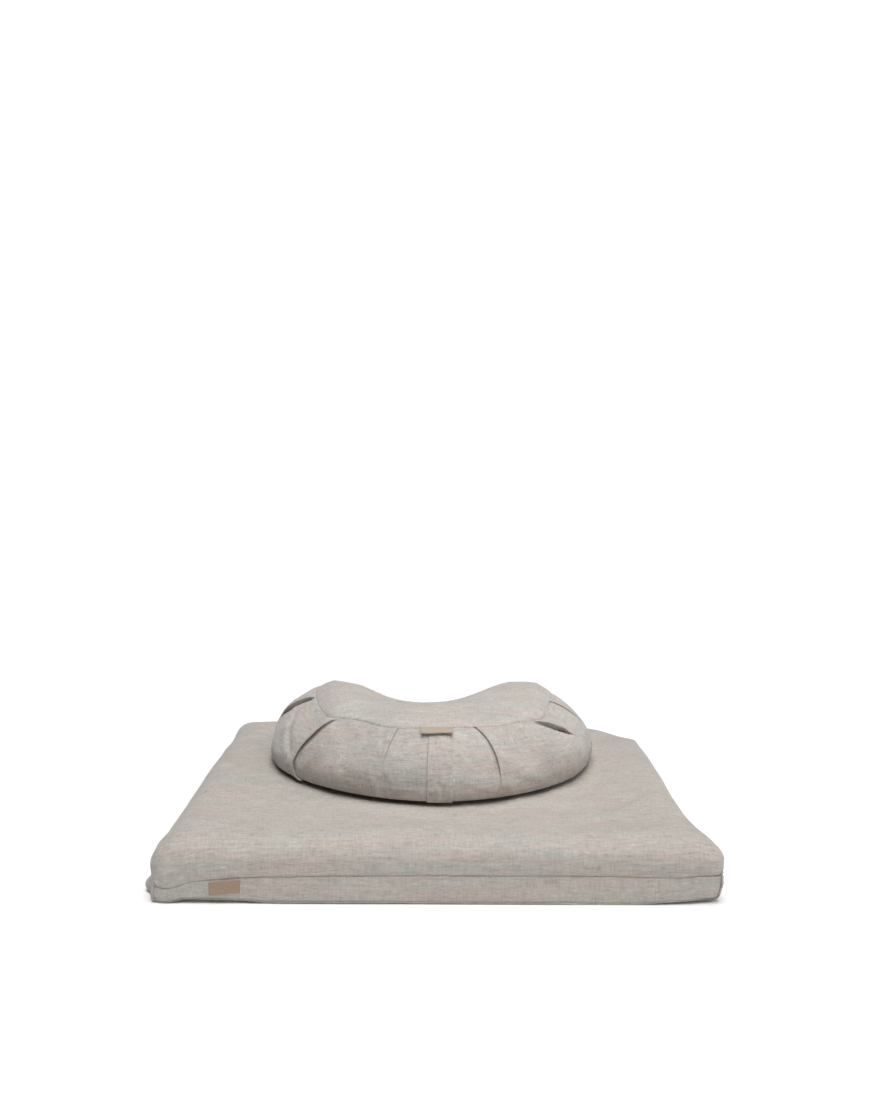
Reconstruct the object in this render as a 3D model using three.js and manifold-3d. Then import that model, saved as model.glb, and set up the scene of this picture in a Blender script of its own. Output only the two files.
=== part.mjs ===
// A two-piece meditation floor cushion: a padded rectangular mat, and a crescent seat cushion that rests on it.
// Each has a linen cover, closed by a zip, over a cotton inner case that holds its filling.
// Millimetres, +Z up. The origin is the centre of the mat's footprint, on the floor.
// The seat's convex side faces -Y, and both zips are on the +Y sides.
import * as THREE from "three";
import { mergeVertices } from "three/addons/utils/BufferGeometryUtils.js";
import Module from "manifold-3d";

const wasm = await Module();
wasm.setup();

// ---- Driving dimensions ----

const GAP = 0.3; // clearance between pieces that touch
const SEAM_GAP = GAP * Math.SQRT2; // the same, measured up a wall at a seam, whose cloth edges slope at 45 degrees
const LINEN = 0.8; // cover cloth
const COTTON = 0.6; // inner case cloth
const CASE_SIDE = 3.4; // how far the inner case stands in from the cover's walls, which leaves room for the zip
const CASE_FACE = LINEN + GAP; // how far it stands in from the cover's top and bottom
const FILL_SIDE = CASE_SIDE + COTTON + GAP;
const FILL_FACE = CASE_FACE + COTTON + GAP;
const SLIT_HEIGHT = 3; // slit in an inner case, where its filling goes in

const MAT_WIDTH = 760;
const MAT_DEPTH = 635;
const MAT_CORNER = 34; // corner radius of the widest outline
const MAT_WIDEST = 50; // height of the widest outline
const MAT_TOP_SEAM = 38; // height of the seam between the top panel and the band
const MAT_BOTTOM_SEAM = 4;
const BAND_INSET = 6;
const MAT_SLIT = 300;
const BATTING_JOINTS = [27, 52]; // heights at which the three batting layers meet

// The mat from its flat top to its flat underside: how far in from the widest outline, and how high.
const MAT_TOP = [
  { inset: 110, z: 80 },
  { inset: 62, z: 77 },
  { inset: 30, z: 71 },
  { inset: 10, z: 62 },
  { inset: 0, z: MAT_WIDEST },
  { inset: BAND_INSET, z: MAT_TOP_SEAM },
];
const MAT_BOTTOM = [
  { inset: BAND_INSET, z: MAT_BOTTOM_SEAM },
  { inset: 22, z: 0 },
];

const SEAT_BASE = MAT_TOP[0].z + GAP;
const SEAT_RADIUS = 250; // outer arc of the crescent's widest outline
const SEAT_CENTRE_Y = 100; // centre of that arc
const HORN_RADIUS = 75; // rounded end of each horn
const HORN_Y = 115;
const NOTCH_Y = 45; // deepest point of the hollow between the horns
const SEAT_WIDEST = 46; // middle of the wall's upright stretch, above the seat's base
const SEAT_SLIT = 70;

// The seat from its flat top to its flat underside: how far in from the widest outline on its convex side and on
// its hollow side, and how high above its base.
const SEAT_TOP = [
  { outer: 70, hollow: 35, z: 111 },
  { outer: 55, hollow: 25, z: 109 },
  { outer: 40, hollow: 15, z: 104 },
];
const SEAT_SHOULDER = { outer: 14, hollow: 4, z: 87 };
const SEAT_UPRIGHT = [
  { outer: 0, hollow: 0, z: SEAT_WIDEST + 16 },
  { outer: 0, hollow: 0, z: SEAT_WIDEST - 16 },
];
const SEAT_BOTTOM = [
  { outer: 12, hollow: 7, z: 8 },
  { outer: 26, hollow: 16, z: 0 },
];

const MAT_ZIP_Z = 21;
const MAT_ZIP_HALF = 290; // from the zip's middle to the end of its teeth
const SEAT_ZIP_HALF = 85;
const ZIP_WINDOW = 7; // height of the slot in the cover that shows the teeth
const TEETH_GAP = 1.2; // between the two rows of teeth, where the slider's web runs
const TEETH_WIDTH = 1.6;
const TEETH_PROUD = 0.4; // how far the teeth and the stops stand out of the cover
const TAPE_DEPTH = LINEN + GAP; // how far behind the cover's face the tape lies
const TAPE_REACH = 9.5; // from the zip's middle to the tape's far edge
const TAPE_THICK = 0.6;
const TAPE_SPARE = 5; // tape beyond the teeth at each end
const STOP_LENGTH = 2.4;
const SLIDER_LENGTH = 11;
const SLIDER_HEIGHT = 8;
const SLIDER_PLATE = 1.5;
const WEB_LENGTH = 7; // the part of the slider between the teeth
const ROD_OUT = 4.2; // how far out of the cover's face the slider holds the rod that carries the pull
const ROD_RADIUS = 0.6;
const POST = 0.8; // thickness of the two posts that hold the rod
const EYE_RADIUS = 0.95; // hole in the pull
const KNUCKLE_RADIUS = 1.6; // rounded end of the pull
const PULL_WIDTH = 5;
const PULL_LENGTH = 14.5;
const PULL_THICK = 1;

const STRAP_WIDTH = 37;
const STRAP_X = 2;
const STRAP_THICK = 1.6; // cloth folded double
const STRAP_START = { outer: 33, z: 99 }; // the strap's upper end, just below the tab
const TAB_WIDTH = 47;
const TAB_X = -2;
const TAB_LENGTH = 14;
const TAB_THICK = 2.2; // tape folded double
const TAB_SLOPE = THREE.MathUtils.degToRad(20); // how far the tab droops below level
const TAB_RISE = 1.4; // height of the tab's root above the seam
const LABEL_WIDTH = 41;
const LABEL_HEIGHT = 18;
const LABEL_THICK = 0.7;
const LABEL_X = -282;

// ---- Materials ----

const cloth = (color, roughness) => new THREE.MeshStandardMaterial({ color, roughness, metalness: 0 });
const linen = cloth(0xc7c1ba, 0.95);
const tanTape = cloth(0xc9b096, 0.85);
const tanLabel = cloth(0xa98f76, 0.85);
const cotton = cloth(0xe9e2d2, 0.95);
const batting = cloth(0xf2efe8, 1);
const hulls = cloth(0x4a382b, 0.8);
const zipTape = cloth(0xb9b0a4, 0.8);
const zipMetal = new THREE.MeshStandardMaterial({ color: 0xa8a39a, roughness: 0.35, metalness: 1 });

// ---- Closed meshes ----

/** A closed geometry from points and triangles, with the triangles turned to face out. */
function closedGeometry(points, triangles) {
  const cross = new THREE.Vector3();
  const sixfold = ([a, b, c]) => points[a].dot(cross.crossVectors(points[b], points[c]));
  const volume = triangles.reduce((sum, triangle) => sum + sixfold(triangle), 0);
  const outward = volume < 0 ? triangles.map(([a, b, c]) => [a, c, b]) : triangles;
  const geometry = new THREE.BufferGeometry().setFromPoints(points).setIndex(outward.flat());
  geometry.computeVertexNormals();
  return geometry;
}

/** A flat ring's points in its own plane, in which the ring runs counter-clockwise. */
function inOwnPlane(ring) {
  const normal = new THREE.Vector3();
  const cross = new THREE.Vector3();
  ring.forEach((point, i) => {
    const [from, to] = [point.clone().sub(ring[0]), ring[(i + 1) % ring.length].clone().sub(ring[0])];
    normal.add(cross.crossVectors(from, to));
  });
  normal.normalize();
  const along = ring[1].clone().sub(ring[0]).normalize();
  const across = cross.crossVectors(normal, along);
  return ring.map((point) => new THREE.Vector2(point.dot(along), point.dot(across)));
}

/** A closed body through rings of equal length, capped at both ends. */
function loft(rings) {
  const n = rings[0].length;
  const last = (rings.length - 1) * n;
  const triangles = [];
  for (let first = 0; first < last; first += n) {
    for (let i = 0; i < n; i++) {
      const [a, b] = [first + i, first + ((i + 1) % n)];
      triangles.push([a, a + n, b + n], [a, b + n, b]);
    }
  }
  const cap = (ring) => THREE.ShapeUtils.triangulateShape(inOwnPlane(ring), []);
  cap(rings[0]).forEach(([a, b, c]) => triangles.push([a, b, c]));
  cap(rings.at(-1)).forEach(([a, b, c]) => triangles.push([last + a, last + c, last + b]));
  return closedGeometry(rings.flat(), triangles);
}

/** A geometry as a manifold-3d solid. */
function solid(geometry) {
  const bare = geometry.clone();
  bare.deleteAttribute("normal");
  bare.deleteAttribute("uv");
  const merged = mergeVertices(bare, 1e-4);
  return new wasm.Manifold(
    new wasm.Mesh({
      numProp: 3,
      vertProperties: new Float32Array(merged.attributes.position.array),
      triVerts: new Uint32Array(merged.index.array),
    }),
  );
}

/** A manifold-3d solid as a geometry. */
function geometryOf(made) {
  const mesh = made.getMesh();
  const geometry = new THREE.BufferGeometry();
  geometry.setAttribute("position", new THREE.BufferAttribute(new Float32Array(mesh.vertProperties), 3));
  geometry.setIndex([...mesh.triVerts]);
  geometry.computeVertexNormals();
  return geometry;
}

/** A box between two corners. */
function block(low, high) {
  const size = high.map((value, i) => value - low[i]);
  const middle = high.map((value, i) => (value + low[i]) / 2);
  return new THREE.BoxGeometry(...size).translate(...middle);
}

/** A bar along X with a section of [y, z] points, centred on x = 0. */
function barAlongX(section, width, hole) {
  const shape = new THREE.Shape(section.map(([y, z]) => new THREE.Vector2(y, z)));
  if (hole) shape.holes.push(hole);
  const bar = new THREE.ExtrudeGeometry(shape, { depth: width, bevelEnabled: false, curveSegments: 6 });
  // The shape's x and y become Y and Z, and the extrusion runs along X.
  const axes = [new THREE.Vector3(0, 1, 0), new THREE.Vector3(0, 0, 1), new THREE.Vector3(1, 0, 0)];
  return bar.translate(0, 0, -width / 2).applyMatrix4(new THREE.Matrix4().makeBasis(...axes));
}

/** Points on an arc in the plane, from one angle to another, with both ends. */
function arcPoints(radius, from, to, steps) {
  return Array.from({ length: steps + 1 }, (_, i) => {
    const angle = from + ((to - from) * i) / steps;
    return [radius * Math.cos(angle), radius * Math.sin(angle)];
  });
}

// ---- Outlines, as rings of points that run counter-clockwise seen from above ----

const CORNER_STEPS = 4;
const SIDE_SPLITS = [1 / 14, 13 / 14]; // on the +Y side, these are where the zip's panel ends

/** The mat's outline at a level. It starts at the corner at +X and -Y. */
function matRing({ inset, z }) {
  const radius = Math.max(MAT_CORNER - inset, 10);
  const signs = [[1, -1], [1, 1], [-1, 1], [-1, -1]];
  const corners = signs.map(([sx, sy], quarter) => {
    const cx = sx * (MAT_WIDTH / 2 - inset - radius);
    const cy = sy * (MAT_DEPTH / 2 - inset - radius);
    const start = ((quarter - 1) * Math.PI) / 2;
    const arc = arcPoints(radius, start, start + Math.PI / 2, CORNER_STEPS);
    return arc.map(([x, y]) => new THREE.Vector3(cx + x, cy + y, z));
  });
  return corners.flatMap((corner, quarter) => {
    const next = corners[(quarter + 1) % corners.length][0];
    return [...corner, ...SIDE_SPLITS.map((part) => corner.at(-1).clone().lerp(next, part))];
  });
}

// Points of that outline at which the band is joined: the middles of the two -Y corners, and the zip panel's ends.
const PER_QUARTER = CORNER_STEPS + 1 + SIDE_SPLITS.length;
const FRONT_RIGHT = CORNER_STEPS / 2;
const FRONT_LEFT = 3 * PER_QUARTER + CORNER_STEPS / 2;
const MAT_ZIP_FIRST = PER_QUARTER + CORNER_STEPS + 1;
const MAT_ZIP_LAST = MAT_ZIP_FIRST + 1;

const OUTER_STEPS = 23; // odd, so that a flat facet lies behind the strap
const HORN_STEPS = 9;
const HOLLOW_STEPS = 12; // on either side of the hollow's middle
const SEAT_ZIP_STEPS = 8; // how many of those the zip's panel takes

/** The arcs of the seat's outline at a level. */
function crescent({ outer, hollow }) {
  const outerRadius = SEAT_RADIUS - outer;
  const hornRadius = HORN_RADIUS - (outer + hollow) / 2;
  const hornX = Math.sqrt((outerRadius - hornRadius) ** 2 - (HORN_Y - SEAT_CENTRE_Y) ** 2);
  // The hollow's arc passes through the notch and touches both horns, which gives its radius.
  const rise = HORN_Y - (NOTCH_Y - hollow);
  const hollowRadius = (hornX ** 2 + rise ** 2 - hornRadius ** 2) / (2 * (hornRadius + rise));
  return { outerRadius, hornRadius, hornX, hollowRadius, hollowY: NOTCH_Y - hollow + hollowRadius };
}

/** The seat's outline at a level. It starts at the middle of the hollow and goes round by the horn at -X. */
function seatRing(level) {
  const { outerRadius, hornRadius, hornX, hollowRadius, hollowY } = crescent(level);
  const down = -Math.PI / 2;
  const outerEnd = Math.atan2(HORN_Y - SEAT_CENTRE_Y, hornX); // direction in which the outer arc meets a horn
  const hollowEnd = Math.atan2(HORN_Y - hollowY, hornX); // direction in which the hollow's arc meets a horn
  const arc = (cx, cy, radius, from, to, steps) =>
    arcPoints(radius, from, to, steps)
      .slice(0, -1)
      .map(([x, y]) => new THREE.Vector3(cx + x, cy + y, SEAT_BASE + level.z));
  return [
    ...arc(0, hollowY, hollowRadius, down, -Math.PI - hollowEnd, HOLLOW_STEPS),
    ...arc(-hornX, HORN_Y, hornRadius, -hollowEnd, Math.PI - outerEnd, HORN_STEPS),
    ...arc(0, SEAT_CENTRE_Y, outerRadius, Math.PI - outerEnd, 2 * Math.PI + outerEnd, OUTER_STEPS),
    ...arc(hornX, HORN_Y, hornRadius, outerEnd, Math.PI + hollowEnd, HORN_STEPS),
    ...arc(0, hollowY, hollowRadius, hollowEnd, down, HOLLOW_STEPS),
  ];
}

/** Moves a level of the mat inwards: by `side` from its walls, and by `face` from its top and bottom. */
function deeperMat({ inset, z }, side, face) {
  return { inset: inset + side, z: z + face * Math.sign(MAT_WIDEST - z) };
}

/** Moves a level of the seat inwards in the same way. */
function deeperSeat({ outer, hollow, z }, side, face) {
  return { outer: outer + side, hollow: hollow + side, z: z + face * Math.sign(SEAT_WIDEST - z) };
}

const mat = { ring: matRing, deeper: deeperMat, levels: [...MAT_TOP, ...MAT_BOTTOM] };
const seatLevels = [...SEAT_TOP, SEAT_SHOULDER, ...SEAT_UPRIGHT, ...SEAT_BOTTOM];
const seat = { ring: seatRing, deeper: deeperSeat, levels: seatLevels };

// ---- Pieces of cloth and filling, cut on those outlines ----

/** The inner face of a cushion's cover at each level. */
const inside = (cushion, levels) => levels.map((level) => cushion.ring(cushion.deeper(level, LINEN, LINEN)));

/** A cushion's top or bottom panel, from its flat middle out to its seam. */
function panel(cushion, levels) {
  return loft([...levels.map(cushion.ring), ...inside(cushion, levels).reverse()]);
}

/** The part of a cushion's wall between two points of its outline, which may run past the outline's start. */
function wall(cushion, levels, first, last) {
  const [face, back] = [levels.map(cushion.ring), inside(cushion, levels).reverse()];
  const count = face[0].length;
  const columns = Array.from({ length: ((last - first + count) % count) + 1 }, (_, i) => (first + i) % count);
  const sections = columns.map((column) => [...face, ...back].map((ring) => ring[column]));
  const trim = (end, next) => end.map((point, i) => point.clone().lerp(next[i], GAP / 2 / point.distanceTo(next[i])));
  return loft([trim(sections[0], sections[1]), ...sections.slice(1, -1), trim(sections.at(-1), sections.at(-2))]);
}

/** A cushion's whole shape, moved inwards. */
function core(cushion, side, face) {
  return loft(cushion.levels.map((level) => cushion.ring(cushion.deeper(level, side, face))));
}

/** A cushion's inner case: a bag with a slit, cut by a box, through which the filling goes in. */
function innerCase(cushion, slit) {
  const outside = solid(core(cushion, CASE_SIDE, CASE_FACE));
  const room = solid(core(cushion, CASE_SIDE + COTTON, CASE_FACE + COTTON));
  return geometryOf(outside.subtract(room).subtract(solid(slit)));
}

/** The part of the mat's filling between two heights. */
function battingLayer(low, high) {
  const slab = block([-MAT_WIDTH, -MAT_DEPTH, low], [MAT_WIDTH, MAT_DEPTH, high]);
  return geometryOf(solid(core(mat, FILL_SIDE, FILL_FACE)).intersect(solid(slab)));
}

// ---- Zips ----

/** A zip's line on the mat's cover: its place at a distance along it, and how far it has turned from +X there. */
function matTrack(distance) {
  return { x: distance, y: MAT_DEPTH / 2 - BAND_INSET, z: MAT_ZIP_Z, turn: 0 };
}

/** The same on the seat's cover, where the line follows the hollow's arc. */
function seatTrack(distance) {
  const { hollowRadius, hollowY } = crescent(SEAT_UPRIGHT[0]);
  const turn = distance / hollowRadius;
  const [x, y] = [hollowRadius * Math.sin(turn), hollowY - hollowRadius * Math.cos(turn)];
  return { x, y, z: SEAT_BASE + SEAT_WIDEST, turn };
}

/** A section of [out, up] points, measured from the cover's face, swept along a zip's line. */
function sweep(track, section, half, steps) {
  const stations = Array.from({ length: steps + 1 }, (_, i) => track(half * ((2 * i) / steps - 1)));
  return loft(
    stations.map(({ x, y, z, turn }) =>
      section.map(([out, up]) => new THREE.Vector3(x - out * Math.sin(turn), y + out * Math.cos(turn), z + up)),
    ),
  );
}

/** One side of a zip: a tape behind the cover with a row of teeth on it. `side` is 1 above the slider, -1 below. */
function zipSide(track, side, half, steps) {
  const box = (out, back, near, far) => [
    [out, side * near],
    [out, side * far],
    [back, side * far],
    [back, side * near],
  ];
  const near = TEETH_GAP / 2;
  const tape = box(-TAPE_DEPTH, -TAPE_DEPTH - TAPE_THICK, near, TAPE_REACH);
  const teeth = box(TEETH_PROUD, -TAPE_DEPTH - TAPE_THICK / 2, near, near + TEETH_WIDTH);
  const strip = solid(sweep(track, tape, half + TAPE_SPARE, steps));
  return geometryOf(strip.add(solid(sweep(track, teeth, half, steps))));
}

/** A metal stop that lies across both tapes. X runs along the zip, and Y out of the cover. */
function zipStop() {
  const half = TEETH_GAP / 2 + TEETH_WIDTH;
  return block([-STOP_LENGTH / 2, GAP - TAPE_DEPTH, -half], [STOP_LENGTH / 2, TEETH_PROUD, half]);
}

/** The slider: a plate outside, a plate inside, a web between the teeth, and a rod on two posts. */
function zipSlider() {
  const front = TEETH_PROUD + GAP;
  const back = -TAPE_DEPTH - TAPE_THICK - GAP;
  const backPlate = 0.8;
  const bite = 0.4; // how far joined parts reach into each other
  const [long, high] = [SLIDER_LENGTH / 2, SLIDER_HEIGHT / 2];
  const [webLong, webHigh] = [WEB_LENGTH / 2, TEETH_GAP / 2 - GAP];
  const postX = PULL_WIDTH / 2 + GAP + POST / 2;
  const rod = new THREE.CylinderGeometry(ROD_RADIUS, ROD_RADIUS, 2 * postX, 8).rotateZ(Math.PI / 2);
  const pieces = [
    block([-long, front, -high], [long, front + SLIDER_PLATE, high]),
    block([1 - long, back - backPlate, 1 - high], [long - 1, back, high - 1]),
    block([-webLong, back - bite, -webHigh], [webLong, front + bite, webHigh]),
    rod.translate(0, ROD_OUT, 0),
    block([-postX - POST / 2, front + bite, -1], [-postX + POST / 2, ROD_OUT + 1, 1]),
    block([postX - POST / 2, front + bite, -1], [postX + POST / 2, ROD_OUT + 1, 1]),
  ];
  return geometryOf(pieces.map(solid).reduce((joined, piece) => joined.add(piece)));
}

/** The pull, about its own hinge axis: an eye round the slider's rod, and a tab that hangs from it. */
function zipPull() {
  const half = PULL_THICK / 2;
  const shoulder = Math.asin(half / KNUCKLE_RADIUS); // angle from straight down to where the tab meets the knuckle
  const knuckle = arcPoints(KNUCKLE_RADIUS, shoulder - Math.PI / 2, (3 * Math.PI) / 2 - shoulder, 12);
  const eye = new THREE.Path().absarc(0, 0, EYE_RADIUS, 0, 2 * Math.PI, true);
  return barAlongX([[-half, -PULL_LENGTH], [half, -PULL_LENGTH], ...knuckle], PULL_WIDTH, eye);
}

// ---- Trim ----

/** The carrying strap: a flat strip down the front of the seat's wall. */
function strap() {
  const levels = [STRAP_START, SEAT_SHOULDER, ...SEAT_UPRIGHT, SEAT_BOTTOM[0]];
  const line = (out) => levels.map(({ outer, z }) => [SEAT_CENTRE_Y - SEAT_RADIUS + outer - out, SEAT_BASE + z]);
  return barAlongX([...line(2 * GAP), ...line(2 * GAP + STRAP_THICK).reverse()], STRAP_WIDTH);
}

/** The tab, about its own hinge axis: a tape folded double, which points to -Y. */
function tab() {
  const radius = TAB_THICK / 2;
  const root = arcPoints(radius, -Math.PI / 2, Math.PI / 2, 6);
  const nose = arcPoints(radius, Math.PI / 2, (3 * Math.PI) / 2, 6).map(([y, z]) => [y - TAB_LENGTH + radius, z]);
  return barAlongX([...root, ...nose], TAB_WIDTH);
}

// ---- The object ----

const object = new THREE.Group();

function add(name, geometry, material) {
  const mesh = new THREE.Mesh(geometry, material);
  mesh.name = name;
  object.add(mesh);
  return mesh;
}

/** Adds a mesh at a place on a zip's line, or `out` from it. */
function addOnTrack(name, geometry, { x, y, z, turn }, out = 0) {
  const mesh = add(name, geometry, zipMetal);
  mesh.position.set(x - out * Math.sin(turn), y + out * Math.cos(turn), z);
  mesh.rotation.z = turn;
}

/** Adds a zip's six pieces, with the slider where it closes the zip, at the end towards -X. */
function addZip(name, track, half, steps) {
  add(`${name}_zip_tape_upper`, zipSide(track, 1, half, steps), zipTape);
  add(`${name}_zip_tape_lower`, zipSide(track, -1, half, steps), zipTape);
  const stopAt = half + GAP + STOP_LENGTH / 2;
  addOnTrack(`${name}_zip_stop_closed`, zipStop(), track(-stopAt));
  addOnTrack(`${name}_zip_stop_open`, zipStop(), track(stopAt));
  const closed = track(WEB_LENGTH / 2 - half);
  addOnTrack(`${name}_zip_slider`, zipSlider(), closed);
  addOnTrack(`${name}_zip_pull`, zipPull(), closed, ROD_OUT);
}

function addMat() {
  const bandAt = (z) => ({ inset: BAND_INSET, z });
  const [top, bottom] = [bandAt(MAT_TOP_SEAM - SEAM_GAP), bandAt(MAT_BOTTOM_SEAM + SEAM_GAP)];
  const [aboveZip, belowZip] = [bandAt(MAT_ZIP_Z + ZIP_WINDOW / 2), bandAt(MAT_ZIP_Z - ZIP_WINDOW / 2)];
  add("mat_top_panel", panel(mat, MAT_TOP), linen);
  add("mat_bottom_panel", panel(mat, [...MAT_BOTTOM].reverse()), linen);
  add("mat_band_front", wall(mat, [top, bottom], FRONT_LEFT, FRONT_RIGHT), linen);
  add("mat_band_right", wall(mat, [top, bottom], FRONT_RIGHT, MAT_ZIP_FIRST), linen);
  add("mat_band_left", wall(mat, [top, bottom], MAT_ZIP_LAST, FRONT_LEFT), linen);
  add("mat_band_back_upper", wall(mat, [top, aboveZip], MAT_ZIP_FIRST, MAT_ZIP_LAST), linen);
  add("mat_band_back_lower", wall(mat, [belowZip, bottom], MAT_ZIP_FIRST, MAT_ZIP_LAST), linen);
  addZip("mat", matTrack, MAT_ZIP_HALF, 1);

  const bandFront = -MAT_DEPTH / 2 + BAND_INSET;
  const labelTop = MAT_TOP_SEAM - 1;
  const labelLow = [LABEL_X - LABEL_WIDTH / 2, bandFront - GAP - LABEL_THICK, labelTop - LABEL_HEIGHT];
  add("mat_label", block(labelLow, [LABEL_X + LABEL_WIDTH / 2, bandFront - GAP, labelTop]), tanLabel);

  const slitLow = [-MAT_SLIT / 2, MAT_DEPTH / 4, MAT_ZIP_Z - SLIT_HEIGHT / 2];
  const slit = block(slitLow, [MAT_SLIT / 2, MAT_DEPTH, MAT_ZIP_Z + SLIT_HEIGHT / 2]);
  add("mat_inner_case", innerCase(mat, slit), cotton);
  const [low, high] = BATTING_JOINTS;
  add("mat_batting_lower", battingLayer(0, low - GAP / 2), batting);
  add("mat_batting_middle", battingLayer(low + GAP / 2, high - GAP / 2), batting);
  add("mat_batting_upper", battingLayer(high + GAP / 2, MAT_TOP[0].z), batting);
}

function addSeat() {
  const [topSeam, bottomSeam] = [SEAT_TOP.at(-1), SEAT_BOTTOM[0]];
  const cutBack = ({ outer, hollow, z }, rise) => ({ outer: outer - GAP, hollow: hollow - GAP, z: z + rise });
  const upper = [cutBack(topSeam, -GAP), SEAT_SHOULDER, SEAT_UPRIGHT[0]];
  const lower = [SEAT_UPRIGHT[1], cutBack(bottomSeam, GAP)];
  const window = (side) => ({ outer: 0, hollow: 0, z: SEAT_WIDEST + (side * ZIP_WINDOW) / 2 });
  const [zipFirst, zipLast] = [seatRing(topSeam).length - SEAT_ZIP_STEPS, SEAT_ZIP_STEPS];
  add("seat_top_panel", panel(seat, SEAT_TOP), linen);
  add("seat_bottom_panel", panel(seat, [...SEAT_BOTTOM].reverse()), linen);
  add("seat_wall_front", wall(seat, [...upper, ...lower], zipLast, zipFirst), linen);
  add("seat_wall_back_upper", wall(seat, [...upper, window(1)], zipFirst, zipLast), linen);
  add("seat_wall_back_lower", wall(seat, [window(-1), ...lower], zipFirst, zipLast), linen);
  addZip("seat", seatTrack, SEAT_ZIP_HALF, 32);

  add("seat_strap", strap(), linen).position.x = STRAP_X;
  const tabMesh = add("seat_tab", tab(), tanTape);
  const seamY = SEAT_CENTRE_Y - SEAT_RADIUS + topSeam.outer;
  tabMesh.position.set(TAB_X, seamY - 3 * GAP, SEAT_BASE + topSeam.z + TAB_RISE);
  tabMesh.rotation.x = TAB_SLOPE;

  const middle = SEAT_BASE + SEAT_WIDEST;
  const slitLow = [-SEAT_SLIT / 2, NOTCH_Y - 15, middle - SLIT_HEIGHT / 2];
  const slit = block(slitLow, [SEAT_SLIT / 2, NOTCH_Y + 15, middle + SLIT_HEIGHT / 2]);
  add("seat_inner_case", innerCase(seat, slit), cotton);
  add("seat_hull_fill", core(seat, FILL_SIDE, FILL_FACE), hulls);
}

addMat();
addSeat();

export default object;
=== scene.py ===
"""A linen meditation cushion set: a padded floor mat, and a pleated crescent seat cushion that rests on it.

Metres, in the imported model's frame: X to the right, Y to the back, Z up.
"""

import math

import bmesh
import bpy
import numpy as np
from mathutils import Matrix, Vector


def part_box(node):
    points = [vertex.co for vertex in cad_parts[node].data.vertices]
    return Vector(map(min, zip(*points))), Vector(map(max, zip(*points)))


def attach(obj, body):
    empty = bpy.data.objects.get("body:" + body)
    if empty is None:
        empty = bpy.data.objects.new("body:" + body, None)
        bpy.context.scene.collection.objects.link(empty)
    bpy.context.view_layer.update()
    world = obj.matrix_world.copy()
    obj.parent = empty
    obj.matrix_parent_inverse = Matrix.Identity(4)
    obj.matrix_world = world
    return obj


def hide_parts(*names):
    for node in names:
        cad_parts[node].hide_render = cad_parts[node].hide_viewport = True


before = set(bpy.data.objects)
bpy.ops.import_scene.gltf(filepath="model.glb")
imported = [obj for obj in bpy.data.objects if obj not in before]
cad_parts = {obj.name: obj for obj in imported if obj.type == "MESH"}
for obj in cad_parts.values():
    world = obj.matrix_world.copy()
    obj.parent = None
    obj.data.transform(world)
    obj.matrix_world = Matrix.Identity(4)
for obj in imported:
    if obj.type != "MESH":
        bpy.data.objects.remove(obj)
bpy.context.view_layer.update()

MM = 0.001

# ---- Sizes ----

mat_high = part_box("mat_top_panel")[1]
slider_low, slider_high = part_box("mat_zip_slider")

# The mat.
HALF_X = mat_high.x
HALF_Y = mat_high.y
MAT_TOP = mat_high.z
MAT_CORNER = 24 * MM
MAT_CREST = 88 * MM  # height of the plump rim, which stands above the middle that the seat presses down
MAT_SEAM = 33 * MM  # usual height of the seam round the top panel
BAND_INSET = 2.5 * MM  # how far the band stands in from the widest outline
ZIP_Z = (slider_low.z + slider_high.z) / 2
ZIP_HALF_SLOT = 3.5 * MM
ROLL = 44 * MM  # how far in from its seam the top panel has turned from upright to level
ROLL_START = math.radians(104)  # the panel leaves the seam outwards before it turns up and in
DISH = 9 * MM  # how far the seat has pressed the middle down
DISH_EDGE = (45 * MM, 150 * MM)  # how far in from the seam the dish starts, and is at its full depth
UNDER_SEAT = (120 * MM, 150 * MM)  # how far in from the seam the seat's weight starts, and flattens the top
CORNER_REACH = 45 * MM  # how far a pulled corner draws the cloth
FOLDED_Y = -274 * MM  # where the left side's spare cloth is folded out, behind the front left corner
PRESSED_X = -286.5 * MM  # where the zip's pull presses the band in at the back

# How high the mat's top seam and its hem stand along its front, in mm, by x in metres.
SEAM_AT = [-0.38, -0.357, -0.341, -0.325, -0.254, -0.13, 0, 0.23, 0.32, 0.346, 0.38]
SEAM_RISE = [23, 18, 23, 29, 35, 37.5, 38.5, 38, 35.5, 38.5, 39]
HEM_AT = [-0.38, -0.355, -0.339, -0.26, -0.235, 0.12, 0.21, 0.266, 0.316, 0.36]
HEM_RISE = [0.5, 1, 6.5, 5, 2, 1.5, 0.8, 1, 4.5, 6.5]

# The seat. Its heights are above its base.
SEAT_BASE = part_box("seat_bottom_panel")[0].z
SEAT_RADIUS = 250 * MM  # outer arc of the crescent's widest outline
SEAT_Y = 100 * MM  # centre of that arc
HORN_RADIUS = 75 * MM
HORN_Y = 115 * MM
NOTCH_Y = 45 * MM
SLOT_HALF = 94.5 * MM  # half the length of the zip's panel along the hollow
ZIP_RISE = 46 * MM
SEAT_BELLY = 24 * MM  # height at which the convex wall is widest
SEAT_TOP_SEAM = 103 * MM
SEAT_BOTTOM_SEAM = 6 * MM
SEAT_CROWN = 9 * MM  # rise of the top panel above its seam
SHOULDER = math.radians(12)  # slope of the wall where it leaves the top seam
FOOT = math.radians(76)  # how far round its belly the wall goes, below its widest
WIDEST_SHARE = 0.22  # share of the wall's length at which it is widest

# How far the top seam stands in from the widest outline, in mm, by angle from the front, in degrees.
SEAM_ANGLES = [-120, -95, -75, -60, -50, -43, -34, -25, -18, -8, 11, 19, 28, 34, 40, 46, 52, 62, 75, 95, 120]
SEAM_INSETS = [40, 44, 46, 37, 28, 43, 49, 36, 32, 40, 44, 39, 35, 43, 37, 29, 40, 58, 65, 61, 46]

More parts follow.
